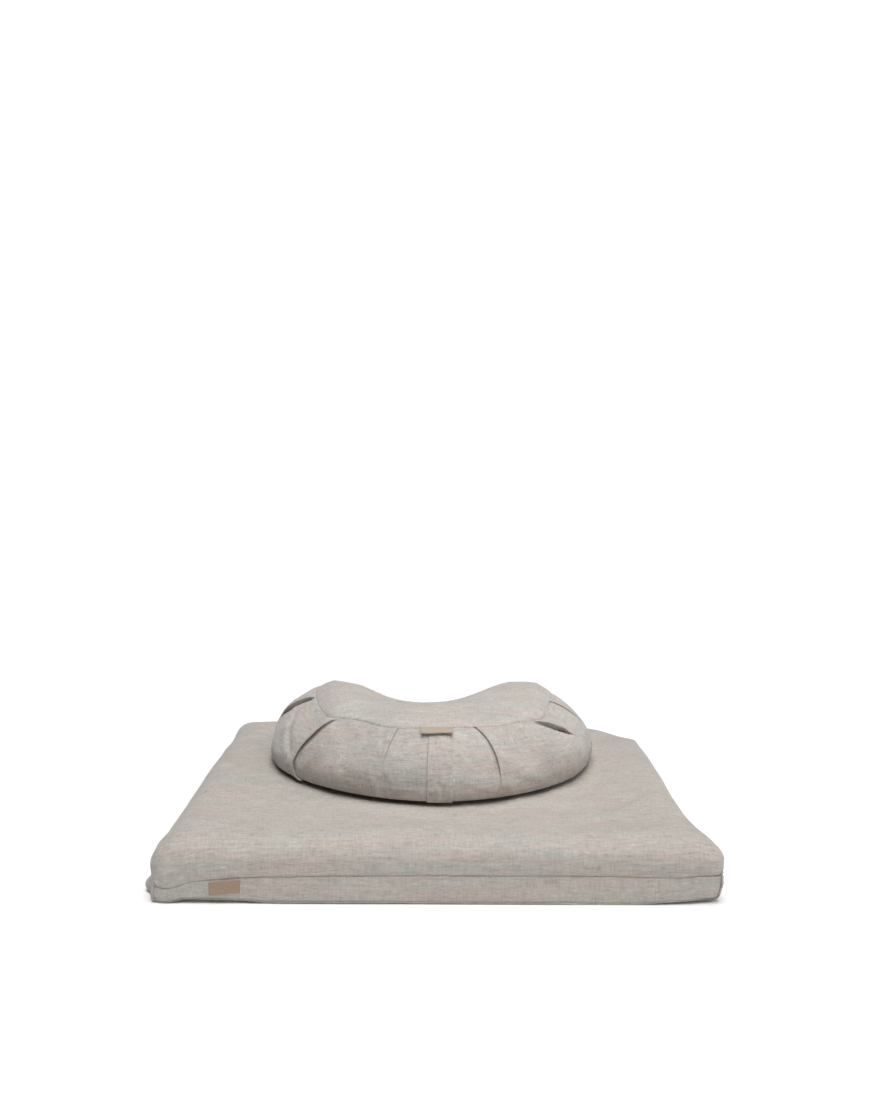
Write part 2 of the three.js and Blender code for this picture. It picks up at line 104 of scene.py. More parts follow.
# The cloth.
CLOTH = 0.7 * MM
TUCK = 0.8 * MM  # how far both sides of a seam turn in to it
SIM_CELL = 6 * MM  # size of a cell of simulated cloth
FOLD_DEPTH = 8 * MM  # how far a pleat's cloth goes under itself
FLAT_FOLD = 1.5 * MM  # half the width that a pleat's cloth takes up where it lies flat

# The trim.
STRAP_ENDS = (0.012, 0.962)  # shares of the wall's length at which the strap is sewn in
STRAP_CLOTH = 1.2 * MM  # it is folded double
TAB_CLOTH = 0.8 * MM
TAB_DROOP = math.radians(8)
LABEL_CLOTH = 0.6 * MM
LABEL_DROP = (18.8 * MM, 1.8 * MM)  # how far below the seam the label's lower and upper ends hang

# The stage.
AMBIENT = 0.06  # the light of the studio's walls on everything but the camera
BACKDROP = 1.05  # the brightness of the white behind the cushion
FLOOR_SIZE = 30.0
LENS = 37.69
CAMERA_PLACE = (0.0093, -1.7796, 0.6244)
CAMERA_DOWN = math.radians(5.88)
CAMERA_LEFT = math.radians(0.49)


# ---- Smooth shapes ----


def smoothstep(low, high, x):
    """0 up to low, rising smoothly to 1 from high on. It falls instead where high is below low."""
    t = np.clip((x - low) / (high - low), 0, 1)
    return t * t * (3 - 2 * t)


def bump(x, centre, width):
    """1 at the centre, falling smoothly to 0 over about twice the width."""
    return np.exp(-(((x - centre) / width) ** 2))


def ripples(x, y, size, seed, stretch=1.0, waves=14):
    """Seeded noise of about unit height, with ripples `size` across, and `stretch` times that along x."""
    rng = np.random.default_rng(seed)
    total = np.zeros(np.broadcast(x, y).shape)
    for _ in range(waves):
        angle = rng.uniform(0, math.pi)
        pitch = size * rng.uniform(0.7, 1.6)
        phase = rng.uniform(0, 2 * math.pi)
        along = (x / stretch * math.cos(angle) + y * math.sin(angle)) * 2 * math.pi / pitch
        total = total + np.sin(along + phase)
    return total / math.sqrt(waves / 2) / 1.6


def graded(length, fine, coarse, reach):
    """Distances from 0 to length whose steps grow from fine to coarse over a reach."""
    steps = [0.0]
    while steps[-1] < length:
        share = min(1.0, steps[-1] / reach)
        steps.append(steps[-1] + fine + (coarse - fine) * share)
    return np.array(steps) * length / steps[-1]


def graded_both(fine, coarse, reach):
    """Shares from 0 to 1, closest together at both ends."""
    share = graded(0.5, fine, coarse, reach)
    return np.concatenate([share, 1 - share[::-1][1:]])


def grid(*values):
    """A grid of points from their coordinates, each of which may be the same along rows or columns."""
    return np.stack(np.broadcast_arrays(*values), axis=-1)


def eased(x, places, values, width):
    """Values that are given at a few places, joined smoothly."""
    fine = np.linspace(places[0], places[-1], 500)
    step = fine[1] - fine[0]
    reach = int(3 * width / step) + 1
    kernel = np.exp(-((np.arange(-reach, reach + 1) * step / width) ** 2))
    padded = np.pad(np.interp(fine, places, values), reach, mode="edge")
    return np.interp(x, fine, np.convolve(padded, kernel / kernel.sum(), mode="valid"))


# ---- Meshes ----


def placed(name, data):
    """A new object in the scene."""
    thing = bpy.data.objects.new(name, data)
    bpy.context.scene.collection.objects.link(thing)
    return thing


def cloth_mesh(name, points, cloth, flip=False, thickness=CLOTH):
    """A sheet of cloth over a grid of points, with its place on the flat cloth, in metres, as its UV map.

    The face side looks along (next column) x (next row). Thickness goes to the other side.
    """
    rows, columns = points.shape[:2]
    index = np.arange(rows * columns).reshape(rows, columns)
    quads = np.stack([index[:-1, :-1], index[:-1, 1:], index[1:, 1:], index[1:, :-1]], axis=-1).reshape(-1, 4)
    if flip:
        quads = quads[:, ::-1]
    mesh = bpy.data.meshes.new(name)
    mesh.from_pydata(points.reshape(-1, 3).tolist(), [], quads.tolist())
    mesh.polygons.foreach_set("use_smooth", [True] * len(quads))
    layer = mesh.uv_layers.new(name="cloth")
    layer.data.foreach_set("uv", cloth.reshape(-1, 2)[quads.reshape(-1)].astype(np.float32).reshape(-1))
    mesh.update()
    piece = placed(name, mesh)
    if thickness:
        solidify = piece.modifiers.new("cloth thickness", "SOLIDIFY")
        solidify.thickness = thickness
        solidify.offset = -1
        solidify.use_even_offset = False
    return piece


def finished(piece, material, body, node):
    """Gives a piece its material, and puts it on its body in place of its CAD node."""
    piece.data.materials.append(material)
    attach(piece, body)
    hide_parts(node)


def declared(piece):
    """Reads a sheet of cloth's UV map, which gives the size that it was cut to, and does nothing more with
    it.
    """
    mesh = piece.data
    place = np.empty(len(mesh.loops) * 2)
    mesh.uv_layers["cloth"].data.foreach_get("uv", place)


def linen_sheet(name, points, cloth, body, node, flip=False):
    """A panel of the mat's or the seat's cover, stretched over that body's inner case."""
    piece = cloth_mesh(name, points, cloth, flip)
    finished(piece, linen[body], body, node)
    declared(piece)


# ---- Cloth simulation ----


def smoothed(values, cells):
    """Grid values averaged over a round patch, rows and columns alike, without reading past the edges."""
    reach = int(3 * cells)
    kernel = np.exp(-0.5 * (np.arange(-reach, reach + 1) / cells) ** 2)
    weights = np.ones(values.shape[:2])
    for axis in (0, 1):
        values = np.apply_along_axis(lambda line: np.convolve(line, kernel, "same"), axis, values)
        weights = np.apply_along_axis(lambda line: np.convolve(line, kernel, "same"), axis, weights)
    return values / weights[..., None]


def simulated(points, spare, frames):
    """How a grid of cloth, sewn down round its edge and cut `spare` too large, moves when it is filled."""
    rows, columns = points.shape[:2]
    piece = cloth_mesh("simulated", points, points[..., :2], thickness=0)
    edge = np.ones((rows, columns), bool)
    edge[1:-1, 1:-1] = False
    sewn = piece.vertex_groups.new(name="sewn")
    sewn.add(np.flatnonzero(edge).tolist(), 1.0, "REPLACE")
    cloth = piece.modifiers.new("cloth", "CLOTH")
    settings = cloth.settings
    settings.quality = 5
    settings.mass = 0.25
    settings.bending_stiffness = 0.4
    settings.use_pressure = True
    settings.uniform_pressure_force = 3
    settings.vertex_group_mass = "sewn"
    settings.shrink_min = -spare
    settings.effector_weights.gravity = 0
    settings.air_damping = 4
    scene = bpy.context.scene
    for number in range(1, frames + 1):
        scene.frame_set(number)
    moved = piece.evaluated_get(bpy.context.evaluated_depsgraph_get()).data
    place = np.empty(rows * columns * 3)
    moved.vertices.foreach_get("co", place)
    mesh = piece.data
    bpy.data.objects.remove(piece)
    bpy.data.meshes.remove(mesh)
    scene.frame_set(1)
    return place.reshape(rows, columns, 3) - points


class Wrinkles:
    """The fine wrinkles of a simulated stretch of cloth, to be added to its shape anywhere on it.

    `shape` gives a point for a place across and down the cloth, which is cut `spare` too large. Wrinkles
    broader than `broadest` are left out, and none is deeper than `most`.
    """

    def __init__(self, shape, across, down, spare, frames, broadest, most):
        self.across, self.down = across, down
        u, v = np.meshgrid(across, down)
        moved = simulated(shape(u, v), spare, frames)
        fine = moved - smoothed(moved, broadest / abs(across[1] - across[0]))
        size = np.linalg.norm(fine, axis=-1, keepdims=True) + 1e-9
        self.shift = fine * np.tanh(size / most) * most / size

    def at(self, u, v):
        """The shift of the cloth at a place across and down it."""
        u, v = np.broadcast_arrays(u, v)
        column = np.clip(np.interp(u, self.across, np.arange(len(self.across))), 0, len(self.across) - 1.001)
        row = np.clip(np.interp(v, self.down, np.arange(len(self.down))), 0, len(self.down) - 1.001)
        c, r = column.astype(int), row.astype(int)
        past_c, past_r = (column - c)[..., None], (row - r)[..., None]
        this_row = self.shift[r, c] * (1 - past_c) + self.shift[r, c + 1] * past_c
        next_row = self.shift[r + 1, c] * (1 - past_c) + self.shift[r + 1, c + 1] * past_c
        return this_row * (1 - past_r) + next_row * past_r


# ---- Materials ----


class Nodes:
    """Builds a material's nodes, one short call each."""

    def __init__(self, name):
        self.material = bpy.data.materials.new(name)
        self.material.use_nodes = True
        self.tree = self.material.node_tree
        self.shader = self.tree.nodes["Principled BSDF"]
        cloth = self.node("UVMap")
        cloth.uv_map = "cloth"
        self.cloth = cloth.outputs[0]
        self.place = self.node("TexCoord").outputs["Object"]

    def link(self, value, socket):
        """Links a socket's output, or sets a plain value."""
        if isinstance(value, bpy.types.NodeSocket):
            self.tree.links.new(value, socket)
        else:
            socket.default_value = value

    def node(self, kind, *values, **named):
        """A new node, with its inputs linked or set, in order or by name."""
        node = self.tree.nodes.new("ShaderNode" + kind)
        for value, socket in zip(values, node.inputs):
            self.link(value, socket)
        for name, value in named.items():
            self.link(value, node.inputs[name])
        return node

    def math(self, operation, *values):
        node = self.node("Math", *values)
        node.operation = operation
        return node.outputs[0]

    def scaled(self, vector, scale, shift=(0, 0, 0)):
        node = self.node("VectorMath", vector, scale, shift)
        node.operation = "MULTIPLY_ADD"
        return node.outputs[0]

    def noise(self, vector, scale=1.0, detail=2.0, roughness=0.5):
        node = self.node("TexNoise", Vector=vector, Scale=scale, Detail=detail, Roughness=roughness)
        return node.outputs["Fac"]

    def part(self, vector, index):
        return self.node("SeparateXYZ", vector).outputs[index]

    def ramp(self, value, *stops):
        node = self.node("ValToRGB", value)
        elements = node.color_ramp.elements
        while len(elements) < len(stops):
            elements.new(0.5)
        for element, (position, color) in zip(elements, stops):
            element.position = position
            element.color = (*color, 1)
        return node.outputs[0]

    def mix(self, first, second, blend):
        node = self.node("Mix", 1.0)
        node.data_type = "RGBA"
        node.blend_type = blend
        self.link(first, node.inputs[6])
        self.link(second, node.inputs[7])
        return node.outputs[2]

    def bumped(self, height, strength, distance, **normal):
        return self.node("Bump", Height=height, Strength=strength, Distance=distance, **normal).outputs[0]

    def done(self, color, roughness, **uniform):
        self.link(color, self.shader.inputs["Base Color"])
        self.link(roughness, self.shader.inputs["Roughness"])
        for name, value in uniform.items():
            self.link(value, self.shader.inputs[name.replace("_", " ")])
        return self.material


def woven(n, pitch):
    """The height of a plain weave, from 0 to 1, with threads `pitch` metres apart both ways."""
    turn = 2 * math.pi / pitch
    across = n.math("SINE", n.math("MULTIPLY", n.part(n.cloth, 0), turn))
    along = n.math("SINE", n.math("MULTIPLY", n.part(n.cloth, 1), turn))
    return n.math("MULTIPLY_ADD", n.math("MULTIPLY", across, along), 0.5, 0.5)


def linen_material(name, color, seed):
    """Natural linen: uneven slubbed threads both ways, flecks and a dry sheen."""
    n = Nodes(name)
    shift = (seed * 1.7, seed * 0.9, 0)

    def streaks(across, down, detail=2, roughness=0.5):
        return n.noise(n.scaled(n.cloth, (across, down, 1), shift), detail=detail, roughness=roughness)

    weft = streaks(38, 240)
    fine_weft = streaks(110, 720, 3, 0.6)
    warp = streaks(420, 60, 3)
    cloud = streaks(11, 30, 3)
    grain = streaks(800, 900, 1)
    tone = 0.5
    for threads, weight in ((weft, 0.85), (fine_weft, 1.15), (warp, 0.75), (cloud, 0.38), (grain, 0.3)):
        tone = n.math("ADD", tone, n.math("MULTIPLY_ADD", threads, weight, -weight / 2))
    shade = [tuple(c * k * w for c, w in zip(color, warm)) for k, warm in
             ((0.72, (1, 0.97, 0.93)), (0.945, (1, 0.995, 0.99)), (1.01, (1, 1, 1)), (1.26, (1, 1, 1)))]
    threads = n.ramp(tone, (0.1, shade[0]), (0.4, shade[1]), (0.56, shade[2]), (0.92, shade[3]))
    warm, cool = (1.035, 0.985, 0.955), (0.965, 1.005, 1.0)
    tinted = n.mix(threads, n.ramp(streaks(7, 60), (0.35, cool), (0.65, warm)), "MULTIPLY")
    fleck = streaks(75, 420, 1)
    dark_fleck = n.ramp(fleck, (0.2, (0.74, 0.68, 0.61)), (0.27, (1, 1, 1)))
    light_fleck = n.ramp(fleck, (0.72, (0, 0, 0)), (0.78, (0.15, 0.14, 0.13)))
    flecked = n.mix(n.mix(tinted, dark_fleck, "MULTIPLY"), light_fleck, "ADD")
    weave = n.bumped(woven(n, 1.1 * MM), 0.35, 0.25 * MM)
    slubs = n.bumped(n.math("ADD", weft, n.math("ADD", fine_weft, warp)), 0.5, 0.45 * MM, Normal=weave)
    roughness = n.math("MULTIPLY_ADD", grain, 0.12, 0.84)
    return n.done(
        flecked, roughness, Normal=slubs, Sheen_Weight=0.18, Sheen_Roughness=0.5, Specular_IOR_Level=0.25
    )


def tape_material(name, color, pitch):
    """A firm woven tape or label, ribbed across."""
    n = Nodes(name)
    rib = n.math("SINE", n.math("MULTIPLY", n.part(n.cloth, 0), 2 * math.pi / pitch))
    thread = n.noise(n.scaled(n.cloth, (1400, 300, 1)), detail=2)
    tone = n.math("ADD", n.math("MULTIPLY", rib, 0.12), thread)
    shade = [tuple(c * k for c in color) for k in (0.78, 1.0, 1.15)]
    base = n.ramp(tone, (0.25, shade[0]), (0.5, shade[1]), (0.8, shade[2]))
    normal = n.bumped(n.math("ADD", rib, thread), 0.5, 0.12 * MM)
    return n.done(base, 0.72, Normal=normal, Sheen_Weight=0.1, Specular_IOR_Level=0.3)


def metal_material():
    """Plated zinc, with fine brushed lines and dulled, slightly worn patches."""
    n = Nodes("zip_metal")
    brushed = n.noise(n.scaled(n.place, (300, 4000, 4000)), detail=2)
    worn = n.noise(n.place, scale=420, detail=4)
    color = n.ramp(worn, (0.3, (0.42, 0.40, 0.37)), (0.7, (0.66, 0.64, 0.60)))
    roughness = n.math("MULTIPLY_ADD", worn, 0.3, 0.2)
    return n.done(color, roughness, Normal=n.bumped(brushed, 0.2, 0.05 * MM), Metallic=1.0)


def fibre_material(name, color, coarse):
    """Unbleached wadding or muslin: soft uneven fibres."""
    n = Nodes(name)
    clump = n.noise(n.place, scale=40 / coarse, detail=5)
    fibre = n.noise(n.scaled(n.place, (700, 240, 500)), detail=4, roughness=0.7)
    shade = [tuple(c * k for c in color) for k in (0.86, 1.0, 1.06)]
    tone = n.math("MULTIPLY_ADD", clump, 0.5, n.math("MULTIPLY", fibre, 0.5))
    base = n.ramp(tone, (0.3, shade[0]), (0.5, shade[1]), (0.75, shade[2]))
    return n.done(base, 0.95, Normal=n.bumped(tone, 0.6, 1.2 * MM * coarse), Sheen_Weight=0.3)


def hull_material():
    """Buckwheat hulls: small dark three-cornered husks, each its own brown."""
    n = Nodes("hulls")
    cells = n.node("TexVoronoi", Scale=210, Vector=n.place)
    browns = (0.0, (0.035, 0.02, 0.012)), (0.6, (0.1, 0.055, 0.03)), (1.0, (0.2, 0.12, 0.07))
    base = n.ramp(n.part(cells.outputs["Color"], 0), *browns)
    husks = n.bumped(cells.outputs["Distance"], 0.9, 1.5 * MM)
    return n.done(base, 0.55, Normal=husks, Specular_IOR_Level=0.4)


linen = {
    "mat": linen_material("linen_mat", (0.435, 0.402, 0.375), 1),
    # The seat's linen is lighter and a little less warm than the mat's. The cooler tint is its own colour;
    # the extra lightness is partly painted light, standing in for the brighter light that falls on the seat.
    "seat": linen_material("linen_seat", (0.462, 0.431, 0.408), 5),
}
tan_tape = tape_material("tan_tape", (0.42, 0.345, 0.285), 1.2 * MM)
tan_label = tape_material("tan_label", (0.33, 0.245, 0.17), 0.9 * MM)
zip_tape = tape_material("zip_tape", (0.44, 0.40, 0.35), 1.0 * MM)
zip_metal = metal_material()
muslin = fibre_material("muslin", (0.78, 0.74, 0.64), 0.5)
wadding = fibre_material("wadding", (0.86, 0.84, 0.79), 1.6)
hull_heap = hull_material()


# ---- The mat's shape ----

# The top panel's section: how far it rises, and how far in it goes, along its cloth from the seam.
ARC = np.linspace(0, 1, 1200) * (HALF_X + 60 * MM)
SLOPE = ROLL_START * np.exp(-((ARC / ROLL) ** 2))
RISE = np.concatenate([[0], np.cumsum(np.sin(SLOPE[:-1]) * np.diff(ARC))])
INSET = BAND_INSET + np.concatenate([[0], np.cumsum(np.cos(SLOPE[:-1]) * np.diff(ARC))])
PANEL_X = float(np.interp(HALF_X, INSET[100:], ARC[100:]))  # cloth from the seam to the middle, along X
PANEL_Y = float(np.interp(HALF_Y, INSET[100:], ARC[100:]))


def rounded(x, y, half_x, half_y, corner):
    """Moves points of a square-cornered rectangle so that its corners become quarter circles."""
    a = np.clip((np.abs(x) - (half_x - corner)) / corner, 0, 1)
    b = np.clip((np.abs(y) - (half_y - corner)) / corner, 0, 1)
    back_x = corner * a * (1 - np.sqrt(1 - b * b / 2))
    back_y = corner * b * (1 - np.sqrt(1 - a * a / 2))
    return x - np.sign(x) * back_x, y - np.sign(y) * back_y


def seam_height(x, y):
    """Height of the mat's top seam at a place on its outline."""
    front = smoothstep(-0.15, -0.3, y)
    back = smoothstep(0.2, 0.3, y)
    side = (1 - back) * MM
    left = smoothstep(-0.3, -0.37, x) * side
    right = smoothstep(0.3, 0.37, x) * side
    rise = front * (eased(x, SEAM_AT, SEAM_RISE, 0.006) * MM - MAT_SEAM) + back * 4 * MM
    sway = (1 - front) * (3 * np.sin(y * 17 + 0.6) * left + 2.5 * np.sin(y * 23) * right)
    return MAT_SEAM + rise + sway + 8 * bump(y, FOLDED_Y + 6 * MM, 20 * MM) * left


def hem_height(x, y):
    """Height of the mat's bottom seam, which lifts off the floor here and there."""
    front = smoothstep(-0.2, -0.3, y)
    return 4 * MM + front * (eased(x, HEM_AT, HEM_RISE, 0.008) * MM - 4 * MM)


def hamacher(a, b):
    """A soft product of two shares, for a height that falls away towards both edges."""
    return a * b / np.maximum(a + b - a * b, 1e-9)


def corner_pull(x, y):
    """1 at the mat's front left corner, and at its front right corner, and less with distance from it."""
    reach_y = (y + HALF_Y) ** 2
    return [np.exp(-((x - side * HALF_X) ** 2 + reach_y) / CORNER_REACH**2) for side in (-1, 1)]


def mat_plan(x_cloth, y_cloth):
    """Where a place on the top panel's flat cloth lies in plan, before its sides and corners are drawn."""
    x = np.sign(x_cloth) * (HALF_X - np.interp(PANEL_X - np.abs(x_cloth), ARC, INSET))
    y = np.sign(y_cloth) * (HALF_Y - np.interp(PANEL_Y - np.abs(y_cloth), ARC, INSET))
    return rounded(x, y, HALF_X, HALF_Y, MAT_CORNER)


def drawn_in(x, y):
    """The mat's sides draw in towards the back, the right side the more."""
    drawn = np.where(x > 0, 18 * MM * smoothstep(-0.335, -0.16, y), 5 * MM * smoothstep(0.0, 0.25, y))
    return x - np.sign(x) * drawn * smoothstep(0.1, 0.35, np.abs(x))


def mat_top(x_cloth, y_cloth):
    """The mat's top surface at a place on its flat cloth, measured from the cloth's middle."""
    from_x = PANEL_X - np.abs(x_cloth)
    from_y = PANEL_Y - np.abs(y_cloth)
    x, y = mat_plan(x_cloth, y_cloth)
    nx, ny = mat_outward(x, y)
    share = hamacher(np.interp(from_x, ARC, RISE) / RISE[-1], np.interp(from_y, ARC, RISE) / RISE[-1])
    edge = np.minimum(from_x, from_y)
    seam = seam_height(x, y)
    z = seam + (MAT_CREST - seam) * share
    z = z - DISH * hamacher(smoothstep(*DISH_EDGE, from_x), smoothstep(*DISH_EDGE, from_y))
    x = drawn_in(x, y)
    # The front corners are pulled out, the left the more.
    left, right = corner_pull(x, y)
    x, y = x - 5 * MM * left + 4.5 * MM * right, y - 2 * MM * (left + right)
    # Both sides of the seam turn in to it.
    tuck = TUCK * bump(edge, 0, 1.8 * MM)
    x, y = x - nx * tuck, y - ny * tuck
    puckers = ripples(x_cloth, y_cloth, 16 * MM, 3) * 0.7 * MM
    puckers = puckers * np.exp(-edge / (14 * MM)) * smoothstep(0, 4 * MM, edge)
    soft = (ripples(x_cloth, y_cloth, 140 * MM, 8) * 1.1 + ripples(x_cloth, y_cloth, 55 * MM, 9) * 0.45) * MM
    # The filling has settled towards the back left, and has left the back right corner slack.
    plump = 5 * MM * bump(x, -0.36, 0.2) * bump(y, 0.30, 0.16)
    slack = 22 * MM * bump(x, 0.335, 0.055) * bump(y, 0.31, 0.10)
    z = z + puckers + (soft + plump - slack) * smoothstep(0, 60 * MM, edge)
    under_seat = hamacher(smoothstep(*UNDER_SEAT, from_x), smoothstep(*UNDER_SEAT, from_y))
    return grid(x, y, np.where(under_seat > 0.5, np.minimum(z, MAT_TOP - 0.3 * MM), z))


def mat_outward(x, y):
    """The direction out of the mat's outline, in plan, at a place near it."""
    over_x = np.abs(x) - (HALF_X - MAT_CORNER)
    over_y = np.abs(y) - (HALF_Y - MAT_CORNER)
    corner = (over_x > 0) & (over_y > 0)
    length = np.hypot(over_x, over_y) + 1e-12
    nx = np.where(corner, over_x / length, (over_x > over_y).astype(float))
    ny = np.where(corner, over_y / length, (over_x <= over_y).astype(float))
    return nx * np.sign(x), ny * np.sign(y)


def mirrored(steps):
    """Distances from the middle to both sides, from distances in from an edge."""
    half = steps[-1] - steps
    return np.concatenate([-half, half[::-1][1:]])


panel_x = mirrored(graded(PANEL_X, 1.0 * MM, 4.5 * MM, 30 * MM))
panel_y = mirrored(graded(PANEL_Y, 1.0 * MM, 4.5 * MM, 30 * MM))


def even(low, high, step=SIM_CELL):
    """Evenly spaced places, about one step apart."""
    return np.linspace(low, high, int(round((high - low) / step)) + 1)


def make_mat_top():
    """The crowned top panel."""
    x, y = np.meshgrid(panel_x, panel_y)
    across, down = even(-PANEL_X, PANEL_X), even(-PANEL_Y, PANEL_Y)
    wrinkles = Wrinkles(mat_top, across, down, spare=0.035, frames=24, broadest=22 * MM, most=0.9 * MM)
    points = mat_top(x, y) + wrinkles.at(x, y)
    linen_sheet("mat_top_cloth", points, grid(x, y), "mat", "mat_top_panel")


def seam_loop():
    """The top seam's points, counter-clockwise from the front left corner, and their distances along it.

    Each point is x, y, z and the x and y of its direction out of the outline.
    """
    x, y = panel_x, panel_y
    edges = [
        (x[:-1], np.full(len(x) - 1, y[0])),
        (np.full(len(y) - 1, x[-1]), y[:-1]),
        (x[:0:-1], np.full(len(x) - 1, y[-1])),
        (np.full(len(y) - 1, x[0]), y[:0:-1]),
    ]
    flat_x, flat_y = np.hstack(edges)
    loop = mat_top(flat_x, flat_y)
    step = np.linalg.norm(np.diff(loop, axis=0, append=loop[:1]), axis=1)
    outward = np.stack(mat_outward(*mat_plan(flat_x, flat_y)), axis=1)
    return np.hstack([loop, outward]), np.concatenate([[0], np.cumsum(step)[:-1]])


def band_grid(loop, down, low_share, high_share):
    """The band below a stretch of the seam, from one share of its height to another, bottom row first."""
    x, y, z, nx, ny = loop.T
    hem = hem_height(x, y)
    height = z - hem
    share = (low_share + (high_share - low_share) * graded_both(0.02, 0.09, 0.3))[:, None]
    below = (1 - share) * height
    back = smoothstep(0.25, 0.31, y)
    ridge = 0.9 * MM * (1 - back) * bump(below, 2.6 * MM, 1.2 * MM)
    tucks = TUCK * bump(below, 0, MM) + 1.5 * MM * bump(share * height, 0, 1.5 * MM)
    left, right = corner_pull(x, y)
    belly = (1.5 * np.sin(math.pi * share) + 2.5 * (1 - share)) * MM
    belly = belly - (1 - share) ** 1.5 * (2 * left + 8 * right) * MM
    # At the back it lies a little deeper, behind the zip's pull, which presses it in when turned right down.
    pressed = 2.4 * MM * bump(x, PRESSED_X, 12 * MM) * smoothstep(0.55, 0.05, share)
    belly = belly * (1 - back) - back * (0.8 * MM * smoothstep(0, 3 * MM, below) + pressed)
    wrinkle = ripples(down, share * 0.035, 60 * MM, 21) * 0.9 * MM * np.sin(math.pi * share)
    pucker = ripples(down, share * 0.035, 15 * MM, 22, 0.6) * 0.5 * MM * np.exp(-below / (9 * MM))
    # Behind the front left corner the band is folded, and bulges out past the corner.
    on_left = smoothstep(0.3, 0.36, -x) * bump(share, 0.3, 0.5) * smoothstep(1, 0.8, share)
    folded = on_left * (18 * bump(y, FOLDED_Y, 14 * MM) - 4 * bump(y, FOLDED_Y - 24 * MM, 8 * MM)) * MM
    out = TUCK + ridge - tucks + belly + (wrinkle + pucker) * (1 - back) + folded
    return grid(x + nx * out, y + ny * out, hem + height * share), grid(down, share * height)


def stretch(loop, down, first, last):
    """The part of the seam between two distances along it, which may run past its start."""
    total = down[-1] + np.linalg.norm(loop[0] - loop[-1])
    at = (down - first) % total
    order = np.argsort(at)
    keep = order[at[order] <= (last - first) % total + 1e-6]
    return loop[keep], at[keep] + first


def make_band():
    """The mat's side band, in five lengths, with a slot for the zip at the back."""
    loop, down = seam_loop()

    def nearest(x, y):
        return down[np.argmin(np.hypot(loop[:, 0] - x, loop[:, 1] - y))]

    slot_low, slot_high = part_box("mat_band_back_upper")
    front_left = nearest(-HALF_X, -HALF_Y + 2.5 * MAT_CORNER)
    front_right = nearest(HALF_X, -HALF_Y + 2.5 * MAT_CORNER)
    zip_first = nearest(slot_high.x, HALF_Y)
    zip_last = nearest(slot_low.x, HALF_Y)
    height = MAT_SEAM + 3 * MM
    low, high = (ZIP_Z - ZIP_HALF_SLOT) / height, (ZIP_Z + ZIP_HALF_SLOT) / height
    cuts = [
        ("mat_band_front", front_left, front_right, 0, 1),
        ("mat_band_right", front_right, zip_first, 0, 1),
        ("mat_band_left", zip_last, front_left, 0, 1),
        ("mat_band_back_upper", zip_first, zip_last, high, 1),
        ("mat_band_back_lower", zip_first, zip_last, 0, low),
    ]
    for node, first, last, low_share, high_share in cuts:
        points, cloth = band_grid(*stretch(loop, down, first, last), low_share, high_share)
        linen_sheet(node + "_cloth", points, cloth, "mat", node)


def make_mat_bottom():
    """The bottom panel spans the hem, and lies on the floor inside it."""
    hem = band_grid(*seam_loop(), 0, 1)[0][0]
    hem = np.append(hem, hem[:1], axis=0)
    wide, long = len(panel_x) - 1, len(panel_y) - 1
    front = hem[: wide + 1]
    right = hem[wide : wide + long + 1]
    back = hem[wide + long : 2 * wide + long + 1][::-1]
    left = hem[2 * wide + long :][::-1]
    u = ((panel_x / PANEL_X + 1) / 2)[None, :, None]
    v = ((panel_y / PANEL_Y + 1) / 2)[:, None, None]
    points = (1 - v) * (front - (1 - u) * front[0] - u * front[-1])
    points = points + v * (back - (1 - u) * back[0] - u * back[-1])
    points = points + (1 - u) * left[:, None] + u * right[:, None]
    from_x, from_y = PANEL_X - np.abs(panel_x)[None, :], PANEL_Y - np.abs(panel_y)[:, None]
    points[..., 2] *= 1 - smoothstep(40 * MM, 90 * MM, np.minimum(from_x, from_y))
    linen_sheet("mat_bottom_cloth", points, points[..., :2], "mat", "mat_bottom_panel", flip=True)


# ---- The seat's shape ----


def crescent_arcs(outer, hollow):
    """The seat's outline, moved in by `outer` on its convex side and `hollow` on its hollow side.

    Returns the centre's x and y, radius and end angle of the outer arc, the right horn and the hollow.
    """
    outer_radius = SEAT_RADIUS - outer
    horn_radius = HORN_RADIUS - (outer + hollow) / 2
    horn_x = np.sqrt((outer_radius - horn_radius) ** 2 - (HORN_Y - SEAT_Y) ** 2)
    rise = HORN_Y - (NOTCH_Y - hollow)
    hollow_radius = (horn_x**2 + rise**2 - horn_radius**2) / (2 * (horn_radius + rise))
    hollow_y = NOTCH_Y - hollow + hollow_radius
    outer_end = np.arctan2(HORN_Y - SEAT_Y, horn_x)
    hollow_end = np.arctan2(HORN_Y - hollow_y, horn_x)
    return (
        (0, SEAT_Y, outer_radius, outer_end),
        (horn_x, HORN_Y, horn_radius, math.pi + hollow_end),
        (0, hollow_y, hollow_radius, -math.pi / 2),
    )


def arc_lengths():
    """Lengths of half the outer arc, one horn and half the hollow, on the widest outline."""
    outer, horn, hollow = crescent_arcs(0, 0)
    turns = math.pi / 2 + outer[3], horn[3] - outer[3], horn[3] - math.pi - hollow[3]
    return [arc[2] * turn for arc, turn in zip((outer, horn, hollow), turns)]


OUTER_LENGTH, HORN_LENGTH, HOLLOW_LENGTH = arc_lengths()
HALF_ROUND = OUTER_LENGTH + HORN_LENGTH + HOLLOW_LENGTH


